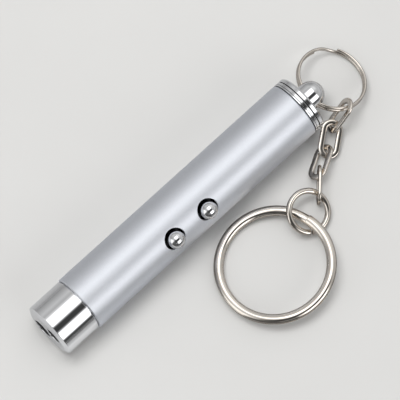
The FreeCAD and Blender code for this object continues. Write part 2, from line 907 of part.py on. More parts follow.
def make_jump_ring(placement):
    """Round wire bent to a circle, with a narrow saw cut across its own X."""
    body = new_body("jump_ring")
    radius = size("jump_ring_diameter") / 2
    section = circles(body, "jump_ring_section", "XZ_Plane", [(radius, 0, size("jump_ring_wire"))])
    bent = body.newObject("PartDesign::Revolution", "jump_ring_bent")
    bent.Profile = section
    bent.ReferenceAxis = (section, ["V_Axis"])
    cut = size("jump_ring_cut") / radius
    bent.setExpression("Angle", "360deg - %s * 1rad" % cut.formula)
    half_cut = math.degrees(float(cut)) / 2
    body.Placement = placement.multiply(FreeCAD.Placement(V(0, 0, 0), FreeCAD.Rotation(V(0, 0, 1), half_cut)))
    document.recompute()
    return body


# How the chain lies: headings from +X towards +Y, slopes downwards, rolls about a piece's own length

THIN_RING_HOOK = 111.9
LINK_LIES = (
    {"heading": -173.7, "slope": 33.9, "roll": 43.7, "hook": 23.1},
    {"heading": -143.2, "slope": 5.9, "roll": -11.7, "hook": -30.4},
    {"heading": -150.7, "slope": -10, "roll": 39.2, "hook": 28.6},
    {"heading": -134.5, "slope": 3.6, "roll": 86, "hook": 0},
)
JUMP_RING_LIE = {"heading": -84.9, "slope": 22.9, "roll": -3.9, "held": 101.1, "holds": -82.1, "cut": 322}
KEY_RING_LIE = {"heading": -48.2, "slope": -7.3, "roll": -2.5, "held": 63.6}
THIN_RING_STEP = {"at": 305, "turn": 40}
KEY_RING_STEP = {"at": 75, "turn": 30}


def turned_as(lie):
    """Rotation with the given heading, slope and roll."""
    return FreeCAD.Rotation(lie["heading"], lie["slope"], lie["roll"])


def toward(rotation, degrees):
    """Direction at an angle in a turned piece's own plane."""
    return rotation.multVec(point_on(1, degrees, 0))


def lay_chain():
    """Place each ring and link by the wire that it hangs on; returns placements and hanging points."""
    places = {}
    hinges = {}
    thin_radius = float(size("thin_ring_diameter")) / 2
    turn = FreeCAD.Rotation(0, float(size("thin_ring_drop")), 180)
    pivot = V(float(knob_hole_x), 0, 0)
    centre = pivot + toward(turn, 0) * (thin_radius - float(ring_sagitta()) / 2)
    places["thin_ring"] = FreeCAD.Placement(centre, turn)
    hinges["thin_ring"] = (pivot, V(0, 1, 0))
    hook = centre + toward(turn, THIN_RING_HOOK) * thin_radius
    wire_way = toward(turn, THIN_RING_HOOK + 90)
    half = float(size("link_straight")) / 2
    for number, lie in enumerate(LINK_LIES, start=1):
        turn = turned_as(lie)
        centre = hook + toward(turn, 0) * half
        places["chain_link_%d" % number] = FreeCAD.Placement(centre, turn)
        hinges["chain_link_%d" % number] = (hook, wire_way)
        low_bow = centre + toward(turn, 0) * half
        hook = low_bow + toward(turn, lie["hook"]) * float(bow_radius)
        wire_way = toward(turn, lie["hook"] + 90)
    hinges["jump_ring"] = (hook, wire_way)
    jump = turned_as(JUMP_RING_LIE)
    jump_radius = float(size("jump_ring_diameter")) / 2
    jump_centre = low_bow - toward(jump, JUMP_RING_LIE["held"]) * jump_radius
    places["jump_ring"] = FreeCAD.Placement(jump_centre, jump)
    half_width = float(size("key_ring_width")) / 2
    half_height = float(size("key_ring_thickness")) + float(size("turn_gap")) / 2
    corner = math.hypot(half_width, half_height)
    inside = jump_radius - float(size("jump_ring_wire")) / 2
    reach = inside - corner - float(size("key_ring_play"))
    hold = jump_centre + toward(jump, JUMP_RING_LIE["holds"]) * reach
    key = turned_as(KEY_RING_LIE)
    key_centre = hold - toward(key, KEY_RING_LIE["held"]) * (float(size("key_ring_diameter")) / 2)
    places["key_ring"] = FreeCAD.Placement(key_centre, key)
    hinges["key_ring"] = (hold, toward(key, KEY_RING_LIE["held"]))
    return places, hinges


def make_split_rings(places):
    wire = size("thin_ring_wire")
    diameter = size("thin_ring_diameter")
    thin = make_split_ring(
        "thin_ring", diameter, wire, wire, wire / 2, THIN_RING_STEP, places["thin_ring"]
    )
    key = make_split_ring(
        "key_ring", size("key_ring_diameter"), size("key_ring_width"), size("key_ring_thickness"),
        size("key_ring_round"), KEY_RING_STEP, places["key_ring"]
    )
    return [thin, key]


# The whole pointer

pieces = [make_nose_cap(), make_body_tube(), make_module_holder(), make_laser_module()]
pieces += [make_laser_lens(), make_laser_diode(), make_led_lamp(), make_circuit_board()]
for button_name, button_station in BUTTONS:
    pieces.append(make_switch(button_name, button_station))
    pieces.append(make_plunger(button_name, button_station))
    pieces.append(make_button(button_name, button_station))
pieces += [make_series_resistor(), make_battery_stop(), make_front_contact(), make_battery_sleeve()]
pieces += [make_cell(number) for number in range(1, CELL_COUNT + 1)]
pieces += [make_tail_spring(), make_tail_cap()]
placements, hinge_lines = lay_chain()
for link in range(1, LINK_COUNT + 1):
    pieces.append(make_chain_link(link, placements["chain_link_%d" % link]))
jump_turn = FreeCAD.Placement(V(0, 0, 0), FreeCAD.Rotation(V(0, 0, 1), JUMP_RING_LIE["cut"]))
pieces.append(make_jump_ring(placements["jump_ring"].multiply(jump_turn)))
pieces += make_split_rings(placements)
document.recompute()

# Checks before anything is written

for item in document.Objects:
    if "Invalid" in item.State or "Error" in item.State:
        raise ValueError("%s failed: %s" % (item.Label, item.State))
for piece in pieces:
    if piece.Shape.isNull() or not piece.Shape.isValid():
        raise ValueError(piece.Label + " has no valid shape")

os.makedirs("parts", exist_ok=True)
for piece in pieces:
    piece.Shape.exportStep("parts/%s.step" % piece.Label)
    print("%s %.3f mm3, %d solid" % (piece.Label, piece.Shape.Volume, len(piece.Shape.Solids)))
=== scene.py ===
# %% [markdown]
# A cat laser pointer lies on a pale table with its chain and key ring beside it.
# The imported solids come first, as a fixed frame that nothing here moves. Each surface that is
# seen is then worked out as points on a grid and laid where its solid is, and the parts inside
# keep their solids and only get a finish.

# %% Load the fixed frame
import json
import math

import bmesh
import bpy
import numpy as np
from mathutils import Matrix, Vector
from mathutils.geometry import tessellate_polygon

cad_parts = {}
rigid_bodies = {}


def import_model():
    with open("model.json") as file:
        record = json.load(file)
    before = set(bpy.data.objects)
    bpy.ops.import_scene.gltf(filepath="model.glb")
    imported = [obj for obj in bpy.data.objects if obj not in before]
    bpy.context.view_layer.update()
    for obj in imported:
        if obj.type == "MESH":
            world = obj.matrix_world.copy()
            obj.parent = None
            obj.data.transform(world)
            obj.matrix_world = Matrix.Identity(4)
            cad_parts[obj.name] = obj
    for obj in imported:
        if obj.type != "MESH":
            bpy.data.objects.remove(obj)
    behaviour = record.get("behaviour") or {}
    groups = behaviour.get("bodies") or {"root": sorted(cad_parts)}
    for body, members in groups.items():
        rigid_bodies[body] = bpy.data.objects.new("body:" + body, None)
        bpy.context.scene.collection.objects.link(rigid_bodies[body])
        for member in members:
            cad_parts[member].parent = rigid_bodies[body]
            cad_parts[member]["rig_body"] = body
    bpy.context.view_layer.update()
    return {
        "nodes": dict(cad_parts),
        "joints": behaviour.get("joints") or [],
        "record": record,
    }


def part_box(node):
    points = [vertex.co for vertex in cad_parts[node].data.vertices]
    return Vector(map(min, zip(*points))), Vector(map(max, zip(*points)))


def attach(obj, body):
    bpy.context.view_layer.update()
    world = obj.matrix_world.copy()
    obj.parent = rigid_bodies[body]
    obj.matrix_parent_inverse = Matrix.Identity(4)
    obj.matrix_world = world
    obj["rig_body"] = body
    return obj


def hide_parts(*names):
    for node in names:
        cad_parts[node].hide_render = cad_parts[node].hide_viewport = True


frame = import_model()
nodes = frame["nodes"]
slot_of = {part["node"]: part["material_slot"] for part in frame["record"]["subparts"]}
joint_of = {joint["name"]: joint for joint in frame["joints"]}

# %% [markdown]
# The lengths below are millimetres, as on a drawing, and are turned into metres where Blender
# gets them. The picture is taken with a long lens from high up, a little before the nose and to one
# side, and the barrel keeps its width from end to end. A long lens far away does that; a short
# one close by would make the nose look fat.

# %% Camera
MM = 0.001
CAMERA_AZIMUTH = math.radians(-43.1)
CAMERA_ELEVATION = math.radians(75)
CAMERA_DISTANCE = 1034
FIELD_OF_VIEW = math.radians(5)
AIM = Vector((45.86, -0.89, 0)) * MM

toward_camera = Vector((
    math.sin(CAMERA_AZIMUTH) * math.cos(CAMERA_ELEVATION),
    -math.cos(CAMERA_AZIMUTH) * math.cos(CAMERA_ELEVATION),
    math.sin(CAMERA_ELEVATION),
))
camera = bpy.data.objects.new("camera", bpy.data.cameras.new("camera"))
bpy.context.collection.objects.link(camera)
camera.data.angle = FIELD_OF_VIEW
camera.location = AIM + toward_camera * CAMERA_DISTANCE * MM
camera.rotation_mode = "QUATERNION"
camera.rotation_quaternion = (-toward_camera).to_track_quat("-Z", "Y")
bpy.context.scene.camera = camera
bpy.context.scene.view_settings.view_transform = "Standard"
print("camera lens %.0f mm" % camera.data.lens)

# %% [markdown]
# Polished metal shows nothing but what stands round it, so the room matters more than its own
# colour. Photographers hang white panels over such a piece and leave dark gaps between them and
# round the camera, which gives the crisp black streaks. The same is done here in the world: its
# level depends on the angle round the barrel's axis, in degrees from straight up, and on how far
# along the axis one looks, which goes from -1 at the nose's end to 1 at the tail's. Each table
# of levels has one (angle, level) for every place where the light changes.

# %% The room round the pointer
ABOVE_LEVELS = (
    (-180, 0.55), (-125, 0.50), (-96, 0.31), (-89, 0.30), (-73, 0.42), (-54, 0.57), (-40, 0.45),
    (-33, 0.65), (-29, 0.95), (-25, 1.6), (7, 1.6), (10, 0.8), (14.5, 0.12), (18, 0.05),
    (31, 0.045), (34.5, 0.07), (38, 0.35), (42, 1.1), (46, 1.9), (70.5, 1.9), (74.3, 1.1),
    (78.2, 0.14), (83.5, 0.045), (90, 0.08), (96, 0.22), (108, 0.30), (118, 0.5), (180, 0.55),
)
BY_NOSE_LEVELS = (
    (-180, 0.45), (-96, 0.34), (-60, 0.36), (-48, 0.38), (-34, 0.5), (-24, 0.6), (-8, 0.58),
    (0, 0.42), (8, 0.16), (16, 0.06), (44, 0.06), (52, 0.25), (62, 0.25), (70, 0.1), (80, 0.06),
    (120, 0.05), (180, 0.45),
)
NOSE_END_LEVELS = (
    (-180, 0.5), (-90, 0.55), (-60, 0.8), (-48, 1.2), (-10, 1.2), (0, 0.9), (10, 0.4), (20, 0.12),
    (120, 0.05), (180, 0.5),
)
TAIL_END_LEVELS = (
    (-180, 0.28), (-100, 0.28), (-72, 0.34), (-48, 0.55), (-32, 0.76), (-8, 0.76), (8, 0.55),
    (35, 0.40), (60, 0.48), (100, 0.34), (180, 0.28),
)
AXIS_END_LEVEL = 0.5
HALF_TURN = 180
NOSE_END_FADE = (-0.72, -0.62)
BY_NOSE_FADE = (-0.34, -0.12)
TAIL_END_FADE = (0.40, 0.56)
AXIS_END_FADE = (0.76, 0.93)
BACKDROP = (0.72, 0.715, 0.70)


def add_node(tree, kind, x, y, **values):
    """A node of this kind at a place on the sheet, with its settings."""
    node = tree.nodes.new(kind)
    node.location = (x, y)
    for name, value in values.items():
        setattr(node, name, value)
    return node


world = bpy.data.worlds.new("studio")
bpy.context.scene.world = world
world.use_nodes = True
tree = world.node_tree
tree.nodes.clear()
where = add_node(tree, "ShaderNodeTexCoord", -1200, 0)
split = add_node(tree, "ShaderNodeSeparateXYZ", -1000, 0)
back_y = add_node(tree, "ShaderNodeMath", -820, -60, operation="MULTIPLY")
back_y.inputs[1].default_value = -1
turn = add_node(tree, "ShaderNodeMath", -640, 0, operation="ARCTAN2")
turn_share = add_node(tree, "ShaderNodeMapRange", -460, 0)
turn_share.inputs["From Min"].default_value = -math.pi
turn_share.inputs["From Max"].default_value = math.pi
tree.links.new(where.outputs["Generated"], split.inputs[0])
tree.links.new(split.outputs["Y"], back_y.inputs[0])
tree.links.new(back_y.outputs[0], turn.inputs[0])
tree.links.new(split.outputs["Z"], turn.inputs[1])
tree.links.new(turn.outputs[0], turn_share.inputs["Value"])


def add_levels(tree, share, stops, half, x, y):
    """Colour ramp over a share from 0 to 1 with a grey stop for each (place, level).

    A place p between -half and half stands at the share (p + half) / (2 half).
    """
    node = add_node(tree, "ShaderNodeValToRGB", x, y)
    ramp = node.color_ramp
    while len(ramp.elements) < len(stops):
        ramp.elements.new(0.5)
    for element, (place, level) in zip(ramp.elements, stops):
        element.position = (place + half) / (2 * half)
        element.color = (level, level, level, 1)
    tree.links.new(share, node.inputs["Fac"])
    return node.outputs["Color"]


def pass_over(tree, value, before, after, low, high, x, y):
    """Change from one colour to the next, or to a grey level, while a value goes from low to high."""
    share = add_node(tree, "ShaderNodeMapRange", x - 200, y - 200)
    share.inputs["From Min"].default_value = low
    share.inputs["From Max"].default_value = high
    mix = add_node(tree, "ShaderNodeMix", x, y, data_type="RGBA")
    tree.links.new(value, share.inputs["Value"])
    tree.links.new(share.outputs["Result"], mix.inputs["Factor"])
    tree.links.new(before, mix.inputs["A"])
    if isinstance(after, float):
        mix.inputs["B"].default_value = (after, after, after, 1)
    else:
        tree.links.new(after, mix.inputs["B"])
    return mix.outputs["Result"]


ahead = split.outputs["X"]
round_axis = turn_share.outputs["Result"]
nose_end = add_levels(tree, round_axis, NOSE_END_LEVELS, HALF_TURN, -280, 600)
by_nose = add_levels(tree, round_axis, BY_NOSE_LEVELS, HALF_TURN, -280, 300)
above = add_levels(tree, round_axis, ABOVE_LEVELS, HALF_TURN, -280, 0)
tail_end = add_levels(tree, round_axis, TAIL_END_LEVELS, HALF_TURN, -280, -300)
room = pass_over(tree, ahead, nose_end, by_nose, *NOSE_END_FADE, 200, 400)
room = pass_over(tree, ahead, room, above, *BY_NOSE_FADE, 400, 200)
room = pass_over(tree, ahead, room, tail_end, *TAIL_END_FADE, 500, 50)
room = pass_over(tree, ahead, room, AXIS_END_LEVEL, *AXIS_END_FADE, 620, 0)
room_light = add_node(tree, "ShaderNodeBackground", 800, 0)
backdrop = add_node(tree, "ShaderNodeBackground", 800, -160)
backdrop.inputs["Color"].default_value = (*BACKDROP, 1)
rays = add_node(tree, "ShaderNodeLightPath", 800, 320)
choice = add_node(tree, "ShaderNodeMixShader", 1000, 0)
out = add_node(tree, "ShaderNodeOutputWorld", 1200, 0)
tree.links.new(room, room_light.inputs["Color"])
tree.links.new(rays.outputs["Is Camera Ray"], choice.inputs["Fac"])
tree.links.new(room_light.outputs[0], choice.inputs[1])
tree.links.new(backdrop.outputs[0], choice.inputs[2])
tree.links.new(choice.outputs[0], out.inputs["Surface"])
print("room:", len(ABOVE_LEVELS), "levels round the axis overhead")

# %% [markdown]
# One soft lamp stands high behind the pointer, up and to the left in the picture. It gives the
# shadow its side. It is left out of mirror reflections, which the panels above already fill.

# %% Lamp and table
LAMP_AIM = Vector((50, -5, 0)) * MM
LAMP_PLACE = Vector((-40, 190, 850)) * MM
LAMP_SIZE = 420
LAMP_WATTS = 2.6
FLOOR_HALF = 6000
FLOOR_LEVEL = -7.02

lamp = bpy.data.objects.new("softbox", bpy.data.lights.new("softbox", "AREA"))
bpy.context.collection.objects.link(lamp)
lamp.data.shape = "DISK"
lamp.data.size = LAMP_SIZE * MM
lamp.data.energy = LAMP_WATTS
lamp.location = LAMP_PLACE
lamp.rotation_mode = "QUATERNION"
lamp.rotation_quaternion = (LAMP_AIM - LAMP_PLACE).to_track_quat("-Z", "Y")
lamp.visible_camera = False
lamp.visible_glossy = False

floor_mesh = bpy.data.meshes.new("table")
floor_corners = [
    Vector((side_x * FLOOR_HALF, side_y * FLOOR_HALF, FLOOR_LEVEL)) * MM
    for side_x, side_y in ((-1, -1), (1, -1), (1, 1), (-1, 1))
]
floor_mesh.from_pydata(floor_corners, [], [(0, 1, 2, 3)])
table = bpy.data.objects.new("table", floor_mesh)
bpy.context.collection.objects.link(table)
print("lamp %.0f mm away" % ((LAMP_AIM - LAMP_PLACE).length / MM))

# %% [markdown]
# Every finish has something that changes over it: grain in the satin metal, faint smudges on
# the chrome, small dents in the nickel. Each is noise at its own size, so one node group is
# made for it and placed in each material with its own numbers.

# %% Shared node group: noise between two values
NOISE_LOW, NOISE_HIGH = 0.3, 0.7


def make_noise_group():
    """Noise stretched so that most of it runs from the first value to the second."""
    group = bpy.data.node_groups.new("Uneven value", "ShaderNodeTree")
    face = group.interface
    face.new_socket("Vector", in_out="INPUT", socket_type="NodeSocketVector")
    for name, value in (("Waves per metre", 1000.0), ("Detail", 2.0), ("From", 0.0), ("To", 1.0)):
        face.new_socket(name, in_out="INPUT", socket_type="NodeSocketFloat").default_value = value
    face.new_socket("Value", in_out="OUTPUT", socket_type="NodeSocketFloat")
    inside = add_node(group, "NodeGroupInput", -600, 0)
    noise = add_node(group, "ShaderNodeTexNoise", -380, 0)
    spread = add_node(group, "ShaderNodeMapRange", -160, 0)
    spread.inputs["From Min"].default_value = NOISE_LOW
    spread.inputs["From Max"].default_value = NOISE_HIGH
    outside = add_node(group, "NodeGroupOutput", 60, 0)
    group.links.new(inside.outputs["Vector"], noise.inputs["Vector"])
    group.links.new(inside.outputs["Waves per metre"], noise.inputs["Scale"])
    group.links.new(inside.outputs["Detail"], noise.inputs["Detail"])
    group.links.new(noise.outputs["Fac"], spread.inputs["Value"])
    group.links.new(inside.outputs["From"], spread.inputs["To Min"])
    group.links.new(inside.outputs["To"], spread.inputs["To Max"])
    group.links.new(spread.outputs["Result"], outside.inputs["Value"])
    return group


uneven = make_noise_group()


def place_noise(tree, vector, x, y, waves, low, high):
    """Put the noise group in a material and hand back its value."""
    node = add_node(tree, "ShaderNodeGroup", x, y, node_tree=uneven)
    tree.links.new(vector, node.inputs["Vector"])
    for name, value in (("Waves per metre", waves), ("From", low), ("To", high)):
        node.inputs[name].default_value = value
    return node.outputs["Value"]


print("group", uneven.name, "with", len(uneven.interface.items_tree), "sockets")

# %% [markdown]
# A finish is told by few numbers: two colours that it wanders between, how rough it is at least
# and at most, and how deep its bumps are. The shader's fixed numbers are set on its own sockets.
# Deep in a hole or a groove the two chromes get painted shade: their colour is darkened there, as
# metal mirroring only its own dark walls would look, which is told by the distance from the barrel's
# axis. The inside of the nose is bored and not polished, so it also turns matt.

# %% Materials by finish, with painted shade deep inside
ROUGHNESS_WAVES = 1.7
SHADE_BLEND = 0.1


def make_finish(name, colours, roughness, waves, bump=None, metallic=1.0, **fixed):
    """Material whose colour and roughness wander with noise; bump is (waves per metre, depth in mm)."""
    material = bpy.data.materials.new(name)
    material.use_nodes = True
    tree = material.node_tree
    shader = tree.nodes["Principled BSDF"]
    shader.inputs["Metallic"].default_value = metallic
    for socket, value in fixed.items():
        shader.inputs[socket.replace("_", " ")].default_value = value
    vector = add_node(tree, "ShaderNodeTexCoord", -1100, 0).outputs["Object"]
    mix = add_node(tree, "ShaderNodeMix", -300, 200, data_type="RGBA")
    mix.inputs["A"].default_value = (*colours[0], 1)
    mix.inputs["B"].default_value = (*colours[1], 1)
    tree.links.new(place_noise(tree, vector, -600, 250, waves, 0, 1), mix.inputs["Factor"])
    tree.links.new(mix.outputs["Result"], shader.inputs["Base Color"])
    rough = place_noise(tree, vector, -600, 0, waves * ROUGHNESS_WAVES, *roughness)
    tree.links.new(rough, shader.inputs["Roughness"])
    if bump:
        relief = add_node(tree, "ShaderNodeBump", -300, -250)
        relief.inputs["Distance"].default_value = bump[1] * MM
        tree.links.new(place_noise(tree, vector, -600, -250, bump[0], 0, 1), relief.inputs["Height"])
        tree.links.new(relief.outputs["Normal"], shader.inputs["Normal"])
    return material


def paint_shade_inside(material, radius, colour, first=-100.0, last=100.0, roughness=None):
    """Paint shade into a finish as a darker colour deep inside the barrel, and if wanted another roughness.

    The change covers what lies nearer to the barrel's axis than the radius, between the first
    and the last station, in mm.
    """
    tree = material.node_tree
    shader = tree.nodes["Principled BSDF"]
    bright = shader.inputs["Base Color"].links[0].from_socket
    vector = add_node(tree, "ShaderNodeTexCoord", -1100, 600).outputs["Object"]
    across = add_node(tree, "ShaderNodeVectorMath", -900, 600, operation="MULTIPLY")
    across.inputs[1].default_value = (0, 1, 1)
    away = add_node(tree, "ShaderNodeVectorMath", -720, 600, operation="LENGTH")
    share = add_node(tree, "ShaderNodeMapRange", -540, 600)
    share.inputs["From Min"].default_value = (radius - SHADE_BLEND) * MM
    share.inputs["From Max"].default_value = (radius + SHADE_BLEND) * MM
    along = add_node(tree, "ShaderNodeSeparateXYZ", -900, 800)
    within = add_node(tree, "ShaderNodeMath", -720, 850, operation="COMPARE")
    within.inputs[1].default_value = (first + last) / 2 * MM
    within.inputs[2].default_value = (last - first) / 2 * MM
    beyond = add_node(tree, "ShaderNodeMath", -540, 850, operation="SUBTRACT")
    beyond.inputs[0].default_value = 1
    outer = add_node(tree, "ShaderNodeMath", -320, 700, operation="MAXIMUM")
    mix = add_node(tree, "ShaderNodeMix", -120, 450, data_type="RGBA")
    mix.inputs["A"].default_value = (*colour, 1)
    tree.links.new(vector, across.inputs[0])
    tree.links.new(across.outputs["Vector"], away.inputs[0])
    tree.links.new(away.outputs["Value"], share.inputs["Value"])
    tree.links.new(vector, along.inputs[0])
    tree.links.new(along.outputs["X"], within.inputs[0])
    tree.links.new(within.outputs[0], beyond.inputs[1])
    tree.links.new(share.outputs["Result"], outer.inputs[0])
    tree.links.new(beyond.outputs[0], outer.inputs[1])
    tree.links.new(outer.outputs[0], mix.inputs["Factor"])
    tree.links.new(bright, mix.inputs["B"])
    tree.links.new(mix.outputs["Result"], shader.inputs["Base Color"])
    if roughness is not None:
        matt = add_node(tree, "ShaderNodeMix", -120, -60, data_type="FLOAT")
        matt.inputs["A"].default_value = roughness
        tree.links.new(outer.outputs[0], matt.inputs["Factor"])
        tree.links.new(shader.inputs["Roughness"].links[0].from_socket, matt.inputs["B"])
        tree.links.new(matt.outputs["Result"], shader.inputs["Roughness"])


finishes = {
    "satin_aluminium": make_finish(
        "Satin silver", ((0.87, 0.894, 0.945), (0.90, 0.925, 0.977)), (0.47, 0.53), 2600, (5200, 0.0012)),
    "chrome": make_finish(
        "Bright chrome", ((0.88, 0.885, 0.90), (0.92, 0.925, 0.935)), (0.03, 0.07), 220, (300, 0.0004)),
    "button_chrome": make_finish(
        "Button chrome", ((0.88, 0.885, 0.90), (0.92, 0.925, 0.935)), (0.03, 0.07), 500, (700, 0.0003)),
    "nickel": make_finish(
        "Warm nickel", ((0.83, 0.765, 0.69), (0.89, 0.835, 0.765)), (0.03, 0.06), 700, (900, 0.0002),
        Specular_Tint=(0.12, 0.09, 0.07, 1)),
    "black_plastic": make_finish(
        "Black plastic", ((0.012, 0.012, 0.014), (0.03, 0.03, 0.032)), (0.38, 0.5), 900, (2500, 0.002), 0.0),
    "brass": make_finish(
        "Turned brass", ((0.62, 0.42, 0.15), (0.78, 0.58, 0.26)), (0.18, 0.3), 900, (3000, 0.001)),
    "lens_glass": make_finish(
        "Lens glass", ((0.90, 0.93, 0.93), (0.98, 0.98, 0.98)), (0.01, 0.05), 600, None, 0.0,
        Transmission_Weight=1.0, IOR=1.52),
    "clear_epoxy": make_finish(
        "Clear epoxy", ((0.86, 0.88, 0.88), (0.97, 0.97, 0.96)), (0.02, 0.08), 500, (800, 0.001), 0.0,
        Transmission_Weight=1.0, IOR=1.54),
    "steel": make_finish(
        "Cell steel", ((0.52, 0.52, 0.51), (0.66, 0.65, 0.64)), (0.22, 0.36), 1200, (3000, 0.001)),
    "board_green": make_finish(
        "Green board", ((0.008, 0.10, 0.035), (0.02, 0.17, 0.06)), (0.3, 0.45), 2000, (2500, 0.004), 0.0),
    "resistor_black": make_finish(
        "Resistor black", ((0.010, 0.010, 0.012), (0.05, 0.045, 0.04)), (0.4, 0.6), 3000, (4000, 0.003), 0.0),
}
# Painted shade, in this order: the buttons below the barrel's skin, the inside of the nose, which also turns
# matt, the tail's grooves.
paint_shade_inside(finishes["button_chrome"], radius=6.0, colour=(0.012, 0.012, 0.013))
paint_shade_inside(
    finishes["chrome"], radius=5.4, colour=(0.34, 0.34, 0.345), first=0.15, last=20, roughness=0.55)
paint_shade_inside(finishes["chrome"], radius=6.8, colour=(0.03, 0.03, 0.032), first=75, last=77.7)
for name, node in nodes.items():
    if not node.material_slots:
        node.data.materials.append(None)
    for slot in node.material_slots:
        slot.link = "OBJECT"
        slot.material = finishes[slot_of[name]]
print(len(finishes), "finishes")

# %% [markdown]
# The table is a plain pale board with a little sheen. Seen from below it turns clear, so that a
# view from under the table still shows the pointer. In reflections only, its colour is painted
# with levels of light and shade across the barrel, as a sheet of paper lit from one side and ending
# near the piece would show them. By the nose, clear of the barrel's painted shadow, those painted
# levels are higher.

# %% Table finish, with painted light and shade in reflections
# Painted light and shade that only reflections see on the table, as (place across the barrel in mm, level).
MIRRORED_PAINTED_SHADE = (
    (-72, 0.12), (-30, 0.30), (-19, 0.60), (-13, 0.34), (-8, 0.34), (-4, 0.45), (12, 0.47),
    (25, 0.42), (70, 0.31),
)
MIRRORED_PAINTED_SHADE_BY_NOSE = (
    (-72, 0.12), (-30, 0.30), (-20, 0.62), (-7, 0.68), (-3, 0.5), (4, 0.48), (12, 0.55),
    (25, 0.46), (70, 0.31),
)
MIRRORED_HALF = 80
NOSE_PAINTED_SHADE_END = (9, 14)

table_finish = make_finish(
    "Pale table", ((0.71, 0.705, 0.69), (0.73, 0.725, 0.71)), (0.18, 0.24), 30, None, 0.0)
tree = table_finish.node_tree
under = add_node(tree, "ShaderNodeNewGeometry", 0, 300)
clear = add_node(tree, "ShaderNodeBsdfTransparent", 0, -500)
sides = add_node(tree, "ShaderNodeMixShader", 400, 0)
shader = tree.nodes["Principled BSDF"]
vector = add_node(tree, "ShaderNodeTexCoord", -1100, 700).outputs["Object"]
split = add_node(tree, "ShaderNodeSeparateXYZ", -900, 700)
share = add_node(tree, "ShaderNodeMapRange", -720, 700)
share.inputs["From Min"].default_value = -MIRRORED_HALF * MM
share.inputs["From Max"].default_value = MIRRORED_HALF * MM
by_nose = add_levels(tree, share.outputs["Result"], MIRRORED_PAINTED_SHADE_BY_NOSE, MIRRORED_HALF, -520, 950)
painted_shade_by_barrel = add_levels(tree, share.outputs["Result"], MIRRORED_PAINTED_SHADE, MIRRORED_HALF, -520, 700)
first, last = (x * MM for x in NOSE_PAINTED_SHADE_END)
levels = pass_over(tree, split.outputs["X"], by_nose, painted_shade_by_barrel, first, last, -200, 800)
rays = add_node(tree, "ShaderNodeLightPath", -300, 900)
board = shader.inputs["Base Color"].links[0].from_socket
# For glossy rays the board's colour gives way to these painted levels of light and shade.
painted_reflection_mix = add_node(tree, "ShaderNodeMix", -100, 500, data_type="RGBA")
tree.links.new(vector, split.inputs[0])
tree.links.new(split.outputs["Y"], share.inputs["Value"])
tree.links.new(rays.outputs["Is Glossy Ray"], painted_reflection_mix.inputs["Factor"])
tree.links.new(board, painted_reflection_mix.inputs["A"])
tree.links.new(levels, painted_reflection_mix.inputs["B"])
tree.links.new(painted_reflection_mix.outputs["Result"], shader.inputs["Base Color"])
tree.links.new(under.outputs["Backfacing"], sides.inputs["Fac"])
tree.links.new(shader.outputs[0], sides.inputs[1])
tree.links.new(clear.outputs[0], sides.inputs[2])
tree.links.new(sides.outputs[0], tree.nodes["Material Output"].inputs["Surface"])
table.data.materials.append(table_finish)
print("table at", FLOOR_LEVEL, "mm")

# %% [markdown]
# A piece is put together from patches, each a grid of points with a quad between every four
# neighbours. Points that meet are welded, which also turns the quads at a pole into triangles,
# and the faces are then all turned outwards.

# %% Patches and pieces
WELD = 0.0008


def skin(points, closed_u=False, closed_v=False, keep=None):
    """Quads over a grid of points; a closed direction also joins its last line to its first."""
    rows, columns = points.shape[:2]
    u = np.arange(rows if closed_u else rows - 1)
    v = np.arange(columns if closed_v else columns - 1)
    a, b = np.meshgrid(u, v, indexing="ij")
    c, d = (a + 1) % rows, (b + 1) % columns
    quads = np.stack([a * columns + b, a * columns + d, c * columns + d, c * columns + b], -1)
    if keep is not None:
        quads = quads[keep[: len(u), : len(v)]]
    return points.reshape(-1, 3), quads.reshape(-1, 4)


def make_piece(name, patches, node):
    """Weld patches, in mm, into one outward-facing mesh that stands for a solid and rides on its body."""
    points = np.concatenate([points for points, quads in patches]) * MM
    faces = []
    start = 0
    for patch_points, quads in patches:
        faces += (quads + start).tolist()
        start += len(patch_points)
    mesh = bpy.data.meshes.new(name)
    mesh.from_pydata(points.tolist(), [], faces)
    work = bmesh.new()
    work.from_mesh(mesh)
    bmesh.ops.remove_doubles(work, verts=work.verts, dist=WELD * MM)
    bmesh.ops.delete(work, geom=[v for v in work.verts if not v.link_faces], context="VERTS")
    bmesh.ops.recalc_face_normals(work, faces=work.faces)
    if work.calc_volume(signed=True) < 0:
        bmesh.ops.reverse_faces(work, faces=work.faces)
    torn = sum(not edge.is_manifold for edge in work.edges)
    volume = work.calc_volume() / MM ** 3
    work.to_mesh(mesh)
    work.free()
    mesh.shade_smooth()
    mesh.materials.append(finishes[slot_of[node]])
    piece = bpy.data.objects.new(name, mesh)
    bpy.context.collection.objects.link(piece)
    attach(piece, nodes[node]["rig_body"])
    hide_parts(node)
    print("%s: %d faces, %d open edges, %.1f mm3" % (name, len(mesh.polygons), torn, volume))


print("welding points closer than", WELD, "mm")

# %% [markdown]
# The nose, barrel, tail cap and buttons are all turned on a lathe. Their drawing is a profile,
# station against radius, with a small rounding at each corner, because a real turned edge is
# never sharp and the thin bright line along it is what the eye reads as metal. The edge of a
# drilled hole gets the same kind of rounding, ring by ring.

# %% Profiles for turned parts
GUARD = 0.04
EDGE_RINGS = 5


